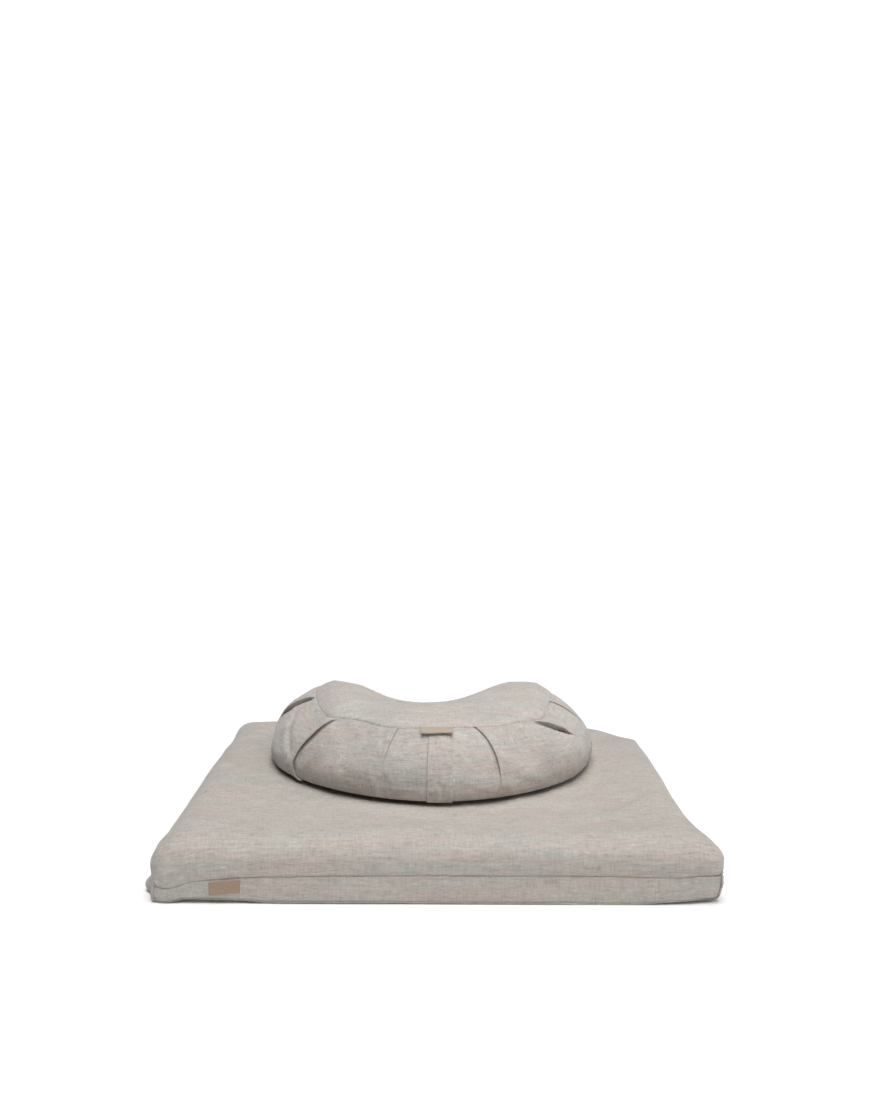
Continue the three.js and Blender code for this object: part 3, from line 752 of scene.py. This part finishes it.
def crescent(along, outer, hollow):
    """A place on the seat's outline: x, y and the direction outwards.

    `along` is the distance round the widest outline from the middle of its front, to -X if it is negative.
    """
    arcs = crescent_arcs(outer, hollow)
    reach = np.abs(along)
    on_outer = np.clip(reach / OUTER_LENGTH, 0, 1)
    on_horn = np.clip((reach - OUTER_LENGTH) / HORN_LENGTH, 0, 1)
    on_hollow = np.clip((reach - OUTER_LENGTH - HORN_LENGTH) / HOLLOW_LENGTH, 0, 1)
    outer_end, horn_end, hollow_end = (arc[3] for arc in arcs)
    angles = (
        -math.pi / 2 + (math.pi / 2 + outer_end) * on_outer,
        outer_end + (horn_end - outer_end) * on_horn,
        horn_end - math.pi + (hollow_end - horn_end + math.pi) * on_hollow,
    )
    places = []
    for (x, y, radius, _), angle, outwards in zip(arcs, angles, (1, 1, -1)):
        nx, ny = np.cos(angle), np.sin(angle)
        places.append([x + radius * nx, y + radius * ny, outwards * nx, outwards * ny])
    on = [reach <= OUTER_LENGTH, reach <= OUTER_LENGTH + HORN_LENGTH]
    x, y, nx, ny = (np.select(on, [first, second], third) for first, second, third in zip(*places))
    side = np.where(along < 0, -1.0, 1.0)
    return x * side, y, nx * side, ny


def near(along, at, width):
    """1 at a place on the closed outline, falling to 0 about twice the width away, either way round."""
    gap = (along - at + HALF_ROUND) % (2 * HALF_ROUND) - HALF_ROUND
    return np.exp(-((gap / width) ** 2))


def top_inset(along):
    """How far in the top seam stands from the widest outline, on the convex side."""
    return eased(np.degrees(along / SEAT_RADIUS), SEAM_ANGLES, SEAM_INSETS, 3.2) * MM


def on_horn(along):
    """1 round the horns, falling to 0 at the middle of the hollow and of the front."""
    reach = np.abs(along)
    return smoothstep(0.22, 0.42, reach) * (1 - smoothstep(HALF_ROUND - 0.19, HALF_ROUND - 0.095, reach))


def in_hollow(along):
    """1 where the hollow's wall holds the zip, falling to 0 at the horns."""
    return smoothstep(HALF_ROUND - 0.19, HALF_ROUND - 0.10, np.abs(along))


def proud(along):
    """How far the filled cloth stands out past the widest outline."""
    angle = np.degrees(along / SEAT_RADIUS)
    return (9 + 17 * bump(angle, -90, 34) - 5 * bump(angle, 80, 40)) * MM * (1 - in_hollow(along))


def wall_base(along, share):
    """The seat's wall before its folds: a point, and the direction outwards. `share` is 0 at its foot."""
    upper = np.clip((share - WIDEST_SHARE) / (1 - WIDEST_SHARE), 0, 1)
    lower = np.clip((WIDEST_SHARE - share) / WIDEST_SHARE, 0, 1)
    phi = math.pi / 2 - (math.pi / 2 - SHOULDER) * upper
    psi = FOOT * lower
    angle = np.degrees(along / SEAT_RADIUS)
    slant = 1.4 - 0.4 * in_hollow(along) - 0.33 * bump(angle, -94, 22) + 0.35 * near(along, 0.46, 0.08)
    fuller = near(along, 0.67, 0.08)  # the right horn is fuller where it meets the hollow
    in_upper = (1 - np.sin(phi) ** slant) / (1 - math.sin(SHOULDER) ** slant)
    in_lower = (1 - np.cos(psi)) / (1 - math.cos(FOOT))
    hollow_top = (16 + 22 * (1 - in_hollow(along))) * (1 - 0.65 * fuller) * MM
    outer = (top_inset(along) + proud(along)) * in_upper + 6 * MM * in_lower - proud(along)
    hollow = hollow_top * in_upper + 8 * MM * in_lower
    widest = SEAT_BELLY + (ZIP_RISE - SEAT_BELLY) * in_hollow(along)
    widest = widest + (6 * bump(angle, -92, 26) + 10 * bump(angle, 85, 26)) * MM
    top = SEAT_TOP_SEAM + (5 * on_horn(along) + 1 * in_hollow(along)) * MM
    for rise, at, width in ((18.3, 0.67, 0.08), (8, -0.65, 0.07), (3, -0.45, 0.06), (-9, 0.48, 0.07)):
        top = top + rise * MM * near(along, at, width)
    rise = (top - widest) * (np.cos(phi) / math.cos(SHOULDER)) ** slant
    drop = (widest - SEAT_BOTTOM_SEAM) * np.sin(psi) / math.sin(FOOT)
    z = SEAT_BASE + widest + rise - drop
    flare = (7 * bump(angle, -80, 28) + 4.5 * bump(angle, 0, 22)) * MM * np.clip(1 - share / 0.5, 0, 1) ** 1.5
    x, y, nx, ny = crescent(along, outer - flare, hollow)
    tilt = np.where(share > WIDEST_SHARE, math.pi / 2 - phi, -psi)
    return grid(x, y, z), grid(nx * np.cos(tilt), ny * np.cos(tilt), np.sin(tilt))


def angle_line(*pairs):
    """A line down the wall, near (share of its height, degrees from the front) pairs."""
    shares, angles = zip(*pairs)
    return np.poly1d(np.polyfit(shares, np.radians(angles) * SEAT_RADIUS, min(3, len(pairs) - 1)))


class Pleat:
    """A pleat. `over` is -1 if the cloth towards -X lies on top, and 1 if the cloth towards +X does.

    Its top cloth stands `lift` mm proud, and the cloth beside it lies `sink` mm low. It fades in above the
    share `low` and out above `high`, and opens by `gap` mm about the share `gap_at`.
    """

    def __init__(self, line, over, lift, sink, low, fade, high=1.2, gap=0, gap_at=0.8, gap_width=0.15):
        self.line = angle_line(*line)
        self.over, self.lift, self.sink = over, lift * MM, sink * MM
        self.low, self.fade, self.high = low, fade, high
        self.widest_gap, self.gap_at, self.gap_width = gap * MM, gap_at, gap_width

    def strength(self, share):
        from_top = smoothstep(self.high - 0.05, self.high + 0.02, share)
        return smoothstep(self.low, self.low + self.fade, share) * (1 - from_top)

    def gap(self, share):
        return self.widest_gap * bump(share, self.gap_at, self.gap_width)

    def on_top(self, share):
        """How far out the cloth on top lies."""
        return self.lift * self.strength(share) + 0.3 * self.gap(share)

    def beneath(self, share):
        """How far in the cloth beside it lies."""
        return self.sink * self.strength(share) + 1.1 * self.gap(share)


PLEATS = [
    Pleat([(0.3, -92), (0.52, -90), (0.67, -88), (0.81, -85.5), (0.93, -83), (1, -81)],
          over=-1, lift=2.0, sink=1.5, low=0.45, fade=0.2, high=0.97, gap=8.0, gap_at=0.76, gap_width=0.16),
    Pleat([(0, -54), (0.27, -57), (0.42, -57.6), (0.62, -54.6), (0.73, -51), (0.83, -49), (1, -45.5)],
          over=-1, lift=2.4, sink=1.6, low=-0.3, fade=0.2, high=0.95, gap=1.5, gap_at=0.66, gap_width=0.2),
    Pleat([(0, -18.5), (0.6, -18.3), (1, -15.8)], over=-1, lift=1.2, sink=0.8, low=0.5, fade=0.15),
    Pleat([(0, 17.2), (0.2, 19.0), (0.42, 21.8), (0.65, 20.2), (0.78, 18.2), (1, 14.9)],
          over=1, lift=1.7, sink=1.1, low=0.05, fade=0.5, gap=0.9, gap_at=0.62),
    Pleat([(0.3, 74), (0.55, 65.5), (0.69, 57.2), (0.82, 49.8), (0.93, 43.4), (1, 41)],
          over=1, lift=2.0, sink=1.5, low=0.56, fade=0.12, high=0.96, gap=9.0, gap_at=0.77, gap_width=0.12),
    Pleat([(0.4, 82), (0.75, 80), (1, 75)], over=1, lift=1.1, sink=0.9, low=0.5, fade=0.3),
]
CREASE = angle_line((0.41, -62.8), (0.56, -68.5), (0.72, -76.5))  # a soft hollow down the left horn


def wall_undulation(along, share):
    """Soft unevenness of the filled wall, outwards."""
    middle = np.sin(math.pi * np.clip(share, 0, 1))
    broad = ripples(along, share * 0.13, 95 * MM, 31, 1.3) * 1.6 * MM
    creased = ripples(along, share * 0.13, 30 * MM, 32, 1.6) * 0.5 * MM
    past_crease = along - CREASE(share)
    crease = 4.2 * MM * bump(past_crease, 0, 8 * MM) - 2.0 * MM * bump(past_crease, -20 * MM, 12 * MM)
    crease = crease * smoothstep(0.3, 0.45, share) * (1 - smoothstep(0.66, 0.8, share))
    return (broad + creased) * middle - crease


def wall_columns(share, first, last):
    """Places along the wall, outward shifts and flat cloth for each row, with columns along the folds."""
    lines = [first + 0 * share] + [pleat.line(share) for pleat in PLEATS] + [last + 0 * share]
    # Where a pleat fades out, its folded cloth lies flat on both sides of its line.
    flat = [0 * share] + [FLAT_FOLD * (1 - pleat.strength(share)) for pleat in PLEATS] + [0 * share]
    places, shifts, cloth = [], [], []
    cloth_at = lines[0]
    for k in range(len(lines) - 1):
        start, end = (lines[k] + flat[k])[:, None], (lines[k + 1] - flat[k + 1])[:, None]
        count = int(max(16, np.mean(end - start) / (3.0 * MM)))
        t = np.linspace(0, 1, count)
        at = start + (end - start) * (t - 0.1 * np.sin(2 * math.pi * t))
        shift = 0 * at
        sides = [(PLEATS[k - 1], at - start, 1)] if k > 0 else []
        sides += [(PLEATS[k], end - at, -1)] if k < len(PLEATS) else []
        for pleat, away, side in sides:
            if pleat.over == side:
                shift = shift + pleat.on_top(share)[:, None] * bump(away, 0, 13 * MM)
            else:
                shift = shift - pleat.beneath(share)[:, None] * bump(away, 0, 9 * MM)
        places.append(at)
        shifts.append(shift)
        cloth.append(cloth_at[:, None] + at - start)
        cloth_at = cloth_at + (end - start)[:, 0]
        if k < len(PLEATS):
            at, shift, used = fold_section(PLEATS[k], share, lines[k + 1], flat[k + 1][:, None])
            places.append(at)
            shifts.append(shift)
            cloth.append(cloth_at[:, None] + used)
            cloth_at = cloth_at + used[:, -1] + flat[k + 1] * 2 / 7
    return np.hstack(places), np.hstack(shifts), np.hstack(cloth)


def fold_section(pleat, share, line, flat):
    """The hidden part of a pleat, from the cloth on its -X side to the cloth on its +X side."""
    strength, gap = pleat.strength(share)[:, None], pleat.gap(share)[:, None]
    top, under = pleat.on_top(share)[:, None], -pleat.beneath(share)[:, None]
    thick = MM * strength
    half = 0.5 * FOLD_DEPTH * strength
    # From the edge of the cloth on top, round under itself, and back out below. Positive is past the edge.
    past = np.hstack([0.5 * thick, 0.1 * thick, -half, -2 * half, -2 * half, -half])
    past = past + flat * (np.arange(6) * 2 - 5) / 7
    turned = 0.5 * (top + under) - 0.4 * thick
    inside = under + 0.2 * gap + 0.7 * thick
    shift = np.hstack([top - 0.5 * thick, top - 1.2 * thick - 0.1 * gap, turned, inside, under, under])
    steps = np.hstack([0.6 * thick, 0.6 * thick, half, half, 0.7 * thick, half])
    used = np.cumsum(steps, axis=1) + flat * np.arange(2, 14, 2) / 7
    if pleat.over > 0:
        return line[:, None] - past[:, ::-1], shift[:, ::-1], used
    return line[:, None] + past, shift, used


def seam_depth(along):
    """How deep the top seam is drawn in: sharply round the front, and hardly at the horns."""
    return (0.9 + 2.6 * (1 - smoothstep(0.19, 0.27, np.abs(along)))) * MM


def wall_edge(along, share, length):
    """How far the wall turns in at its two seams."""
    from_top = (1 - share) * length
    from_foot = share * length
    return seam_depth(along) * bump(from_top, 0, 1.7 * MM) + 1.5 * MM * bump(from_foot, 0, 2 * MM)


def wall_surface(along, share):
    """The wall before its folds, without its directions."""
    return wall_base(along, share)[0]


SHARES = np.linspace(0, 1, 200)


def over_wall(along):
    """How much of the wall's cloth lies below each of SHARES, at one place round the seat."""
    line = wall_surface(along + 0 * SHARES, SHARES)
    return np.concatenate([[0], np.cumsum(np.linalg.norm(np.diff(line, axis=0), axis=1))])


FRONT_CLOTH = over_wall(0.2)
BACK_CLOTH = over_wall(HALF_ROUND)
WALL_LENGTH = FRONT_CLOTH[-1]


def wall_rows(low=0.0, high=1.0):
    """Shares of the wall's height for the mesh's rows, closest together at the seams."""
    return low + (high - low) * graded_both(0.005, 0.022, 0.1)


def make_seat_wall():
    """The pleated wall, round the front and the horns. Returns its wrinkles, which the strap follows."""
    share = wall_rows()
    slot = HALF_ROUND - SLOT_HALF
    along, shift, cloth = wall_columns(share, -slot, slot)
    share = share[:, None]
    points, normal = wall_base(along, share)
    shift = shift + wall_undulation(along, share) - wall_edge(along, share, WALL_LENGTH)
    wrinkles = Wrinkles(wall_surface, even(-slot, slot), even(0, 1, SIM_CELL / WALL_LENGTH),
                        spare=0.03, frames=20, broadest=18 * MM, most=1.6 * MM)
    points = points + normal * shift[..., None] + wrinkles.at(along, share)
    linen_sheet("seat_wall_cloth", points, grid(cloth, np.interp(share, SHARES, FRONT_CLOTH)), "seat",
                "seat_wall_front")
    return wrinkles


def share_at(z):
    """The share of the wall's height that lies at a height above the seat's base."""
    shares = np.linspace(0, 1, 400)
    heights = wall_surface(HALF_ROUND + 0 * shares, shares)[:, 2] - SEAT_BASE
    return float(np.interp(z, heights, shares))


def make_seat_back():
    """The hollow's wall, above and below the zip."""
    low = share_at(ZIP_RISE - ZIP_HALF_SLOT)
    high = share_at(ZIP_RISE + ZIP_HALF_SLOT)
    right = np.linspace(HALF_ROUND - SLOT_HALF, HALF_ROUND, 40)
    along = np.concatenate([right, -right[::-1][1:]])[None, :]
    down = np.concatenate([right, 2 * HALF_ROUND - right[::-1][1:]])
    for part, first, last in (("upper", high, 1.0), ("lower", 0.0, low)):
        share = wall_rows(first, last)[:, None]
        points, normal = wall_base(along, share)
        sewn = np.where(share > 0.5, share > 0.9, share < 0.1)
        points = points - normal * (wall_edge(along, share, BACK_CLOTH[-1]) * sewn)[..., None]
        flat = grid(down, np.interp(share, SHARES, BACK_CLOTH))
        linen_sheet(f"seat_back_{part}_cloth", points, flat, "seat", f"seat_wall_back_{part}")


def seam_pair(count, share):
    """Points facing each other across the crescent at a seam, on its convex side and its hollow side."""
    tip = OUTER_LENGTH + 0.5 * HORN_LENGTH
    t = np.linspace(-1, 1, count)
    t = np.sign(t) * (1 - (1 - np.abs(t)) ** 1.35)
    convex = t * tip
    facing = np.where(t < 0, -1, 1) * (tip + (HALF_ROUND - tip) * (1 - np.abs(t)))
    return wall_surface(convex, share), wall_surface(facing, share)


def crescent_panel(part, share, crown, direction):
    """The seat's top or bottom panel, spanning the crescent between its seams."""
    convex, hollow = seam_pair(260, share)
    across = graded_both(0.004, 0.03, 0.2)[:, None, None]
    points = convex[None] * (1 - across) + hollow[None] * across
    width = np.linalg.norm(hollow - convex, axis=1)[None, :]
    edge = np.minimum(across[..., 0], 1 - across[..., 0]) * width
    plump = 1 + 0.7 * smoothstep(0.08, 0.18, np.abs(points[..., 0])) * (direction > 0)
    rise = crown * plump * (1 - np.exp(-edge / (22 * MM))) * smoothstep(0, 70 * MM, width)
    x, y = points[..., 0], points[..., 1]
    soft = (ripples(x, y, 120 * MM, 41) * 1.2 + ripples(x, y, 40 * MM, 42) * 0.35) * MM
    soft = soft * smoothstep(0, 25 * MM, edge) * (direction > 0)
    front = np.linspace(-1, 1, len(convex))
    drawn = np.where(across[..., 0] < 0.5, seam_depth(front * 0.6), seam_depth(1))
    tuck = drawn * bump(edge, 0, 1.5 * MM)
    points[..., 2] += direction * (rise - tuck) + soft
    linen_sheet(f"seat_{part}_cloth", points, grid(x, y), "seat", f"seat_{part}_panel", flip=direction < 0)


# ---- Trim ----


def make_strap(wrinkles):
    """The strap lies on the wall, and follows its unevenness and its wrinkles."""
    low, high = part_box("seat_strap")
    along = np.linspace(low.x, high.x, 26)[None, :]
    share = np.linspace(*STRAP_ENDS, 60)[:, None]
    points, normal = wall_base(along, share)
    edge = np.minimum(along - low.x, high.x - along)
    lift = 1.5 * MM - 0.5 * MM * np.exp(-edge / (1.2 * MM))
    shift = wall_undulation(along, share) + lift
    points = points + normal * shift[..., None] + wrinkles.at(along, share)
    # The strap is cut from another part of the cloth than the wall behind it.
    flat = grid(along + 0.9, np.interp(share, SHARES, FRONT_CLOTH))
    piece = cloth_mesh("seat_strap_cloth", points, flat, thickness=STRAP_CLOTH)
    finished(piece, linen["seat"], "seat", "seat_strap")
    declared(piece)


def make_tab():
    """A short tape folded double, its raw edges sewn in under a hem and its fold drooping."""
    low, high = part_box("seat_tab")
    # The profile of the fold, outwards from the seam and up, in mm.
    upper = [(0, 0.9), (2.5, 0.9), (4.6, 0.5), (5.0, -0.3), (5.4, -0.6), (7.4, -1.4), (9.2, -2.4)]
    fold_over = [(10.0, -3.1), (10.2, -3.9), (9.7, -4.4), (9.0, -4.2)]
    under = [(7.0, -3.1), (4.6, -2.0), (0, -1.0)]
    corners = np.array(upper + fold_over + under)
    run = np.concatenate([[0], np.cumsum(np.hypot(*np.diff(corners, axis=0).T))])
    fine = np.linspace(0, run[-1], 60)
    out, up = np.interp(fine, run, corners[:, 0]) * MM, np.interp(fine, run, corners[:, 1]) * MM
    y = high.y - 1.3 * MM - out * math.cos(TAB_DROOP) + up * math.sin(TAB_DROOP)
    z = high.z - 2.6 * MM - out * math.sin(TAB_DROOP) + up * math.cos(TAB_DROOP)
    x = np.linspace(low.x, high.x, 48)
    sag = 0.5 * MM * np.sin(x * 130) * (out / out.max())[:, None]
    points = grid(x, y[:, None], z[:, None] + sag)
    piece = cloth_mesh("seat_tab_tape", points, grid(x, fine[:, None] * MM), thickness=TAB_CLOTH)
    finished(piece, tan_tape, "tab", "seat_tab")
    declared(piece)


def make_label():
    """The label hangs from the front seam, and lies on the band."""
    low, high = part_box("mat_label")
    x = np.linspace(low.x, high.x, 44)[None, :]
    loop, down = seam_loop()
    front = loop[: len(panel_x)]
    seam_z = np.interp(x, front[:, 0], front[:, 2])
    drop = np.linspace(*LABEL_DROP, 22)[:, None]
    band, _ = band_grid(*stretch(loop, down, 0, 2 * PANEL_X), 0, 1)
    middle = band[len(band) // 2]
    face = np.interp(x, middle[:, 0], middle[:, 1])
    curl = 0.8 * MM * bump(drop, LABEL_DROP[0], 3 * MM)
    y = face - 1.5 * MM - curl + 0.8 * MM * np.exp(-drop / (1.5 * MM))
    piece = cloth_mesh("mat_label_tape", grid(x, y, seam_z - drop), grid(x, drop), thickness=LABEL_CLOTH)
    finished(piece, tan_label, "mat", "mat_label")
    declared(piece)


# ---- The fillings and their cases ----


def closed_mesh(name, sheets):
    """One closed body from grids of points that share their edges. Each grid is (points, flip)."""
    build = bmesh.new()
    for points, flip in sheets:
        rows, columns = points.shape[:2]
        corners = [[build.verts.new(point) for point in row] for row in points.tolist()]
        for r in range(rows - 1):
            for c in range(columns - 1):
                quad = [corners[r][c], corners[r][c + 1], corners[r + 1][c + 1], corners[r + 1][c]]
                build.faces.new(quad[::-1] if flip else quad)
    bmesh.ops.remove_doubles(build, verts=build.verts, dist=0.02 * MM)
    mesh = bpy.data.meshes.new(name)
    build.to_mesh(mesh)
    build.free()
    mesh.polygons.foreach_set("use_smooth", [True] * len(mesh.polygons))
    return placed(name, mesh)


def slab(name, inset, low, high, edge_z, softness, lump, seed):
    """A padded slab inside the mat: a top and a bottom that meet all round in one edge."""
    half_x, half_y = HALF_X - inset, HALF_Y - inset
    x, y = np.meshgrid(*(mirrored(graded(half, 1.5 * MM, 12 * MM, 60 * MM)) for half in (half_x, half_y)))
    px, py = rounded(x, y, half_x, half_y, MAT_CORNER)
    from_x, from_y = half_x - np.abs(x), half_y - np.abs(y)
    share = hamacher(1 - np.exp(-from_x / softness), 1 - np.exp(-from_y / softness))
    uneven = ripples(px, py, 45 * MM, seed) * lump * share
    px = drawn_in(px, py)
    top = grid(px, py, edge_z + (high - edge_z) * share + uneven)
    bottom = grid(px, py, edge_z + (low - edge_z) * share + 0.3 * uneven)
    return closed_mesh(name, [(top, False), (bottom, True)])


def sewn_case(piece, body, node):
    """Makes a closed surface a thin cotton case."""
    solidify = piece.modifiers.new("cotton thickness", "SOLIDIFY")
    solidify.thickness = 0.4 * MM
    solidify.offset = -1
    finished(piece, muslin, body, node)


def make_mat_filling():
    """Three layers of batting, each smaller than the one below, in a cotton case."""
    case = slab("mat_inner_case_cloth", inset=15 * MM, low=3.5 * MM, high=71 * MM, edge_z=24 * MM,
                softness=26 * MM, lump=0.6 * MM, seed=51)
    sewn_case(case, "mat", "mat_inner_case")
    for k, node in enumerate(("mat_batting_lower", "mat_batting_middle", "mat_batting_upper")):
        low = (7 + 21 * k) * MM
        layer = slab(node + "_wadding", inset=(26 + 14 * k) * MM, low=low, high=low + 19.5 * MM,
                     edge_z=low + 9 * MM, softness=9 * MM, lump=0.5 * MM, seed=52 + k)
        finished(layer, wadding, "mat", node)


def crescent_body(name, outer, hollow, low, high, crown, lump, seed):
    """A filled crescent inside the seat, `outer` and `hollow` in from its wall, between two heights."""
    along = np.linspace(-1, 1, 220) * HALF_ROUND
    share = np.linspace(0, 1, 15)[:, None]
    wall, normal = wall_base(along[None, :], share)
    inwards = np.where(np.abs(along) > OUTER_LENGTH + 0.6 * HORN_LENGTH, hollow, outer)[None, :, None]
    rings = wall - normal * inwards
    rings[..., 2] = np.clip(rings[..., 2], SEAT_BASE + low, SEAT_BASE + high)
    rings = rings + normal * (ripples(along[None, :], share * 0.13, 26 * MM, seed) * lump)[..., None]
    middle = grid(*crescent(along, 0.97 * HORN_RADIUS, 0.97 * HORN_RADIUS)[:2])
    fade = np.linspace(0, 1, 9)[:, None]
    caps = []
    for edge, rise in ((rings[-1], crown), (rings[0], -0.1 * crown)):
        flat = edge[None, :, :2] * (1 - fade[..., None]) + middle[None] * fade[..., None]
        z = edge[None, :, 2] + rise * np.sqrt(1 - (1 - fade) ** 2)
        caps.append(np.concatenate([flat, z[..., None]], axis=-1))
    return closed_mesh(name, [(rings, False), (caps[0], False), (caps[1], True)])


def make_seat_filling():
    """A heap of hulls in a cotton case."""
    case = crescent_body("seat_inner_case_cloth", outer=10 * MM, hollow=7 * MM, low=4 * MM, high=101 * MM,
                         crown=4 * MM, lump=0.3 * MM, seed=61)
    sewn_case(case, "seat", "seat_inner_case")
    fill = crescent_body("seat_hull_heap", outer=13 * MM, hollow=10 * MM, low=7 * MM, high=98 * MM,
                         crown=3 * MM, lump=0.8 * MM, seed=62)
    finished(fill, hull_heap, "seat", "seat_hull_fill")


# ---- The object ----

make_mat_top()
make_band()
make_mat_bottom()
wall_wrinkles = make_seat_wall()
make_seat_back()
crescent_panel("top", 1.0, SEAT_CROWN, 1)
crescent_panel("bottom", 0.0, SEAT_BOTTOM_SEAM - 0.3 * MM, -1)
make_strap(wall_wrinkles)
make_tab()
make_label()
make_mat_filling()
make_seat_filling()

# The zips keep their CAD shapes.
for part in ("slider", "pull", "stop_closed", "stop_open", "tape_upper", "tape_lower"):
    for body in ("mat", "seat"):
        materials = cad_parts[f"{body}_zip_{part}"].data.materials
        materials.clear()
        materials.append(zip_tape if part.startswith("tape") else zip_metal)


# ---- Stage ----


def make_floor():
    """A near-white floor, just below the mat."""
    mesh = bpy.data.meshes.new("floor")
    corners = [(x * FLOOR_SIZE, y * FLOOR_SIZE, 0) for x, y in ((-1, -1), (1, -1), (1, 1), (-1, 1))]
    mesh.from_pydata(corners, [], [(0, 1, 2, 3)])
    floor = placed("floor", mesh)
    n = Nodes("floor")
    floor.data.materials.append(n.done((0.96, 0.96, 0.96, 1), 0.95, Specular_IOR_Level=0.1))
    floor.location.z = -0.4 * MM


def make_light(kind, name, power, elevation, azimuth, place=(0, 0, 0), **shape):
    """A light. Azimuth 0 shines from the front, and 90 from +X."""
    light = bpy.data.lights.new(name, kind)
    light.energy = power
    for key, value in shape.items():
        setattr(light, key, value)
    lamp = placed(name, light)
    lamp.location = place
    lamp.rotation_euler = (math.radians(90 - elevation), 0, math.radians(azimuth))


def make_world():
    """White where the camera sees it, and a weaker light on everything else."""
    world = bpy.data.worlds.new("studio")
    world.use_nodes = True
    tree = world.node_tree
    path = tree.nodes.new("ShaderNodeLightPath")
    share = tree.nodes.new("ShaderNodeMapRange")
    share.inputs["To Min"].default_value = AMBIENT
    share.inputs["To Max"].default_value = BACKDROP
    tree.links.new(path.outputs["Is Camera Ray"], share.inputs["Value"])
    tree.links.new(share.outputs[0], tree.nodes["Background"].inputs["Strength"])
    tree.nodes["Background"].inputs["Color"].default_value = (1, 1, 1, 1)
    bpy.context.scene.world = world


def make_camera():
    """The camera stands in front of the cushion, and looks slightly down."""
    camera = bpy.data.cameras.new("camera")
    camera.lens = LENS
    view = placed("camera", camera)
    view.location = CAMERA_PLACE
    view.rotation_euler = (math.pi / 2 - CAMERA_DOWN, 0, CAMERA_LEFT)
    bpy.context.scene.camera = view


make_floor()
make_world()
make_light("SUN", "overhead", 1.75, 89, 0, angle=math.radians(40))
make_light("SUN", "front", 1.4, 60, 10, angle=math.radians(40))
make_light("SUN", "right", 0.65, 30, 80, angle=math.radians(50))
make_light("AREA", "softbox", 1.3, 90, 0, place=(0.1, -0.25, 1.0), size=0.6)
bpy.context.scene.view_settings.view_transform = "Standard"
make_camera()
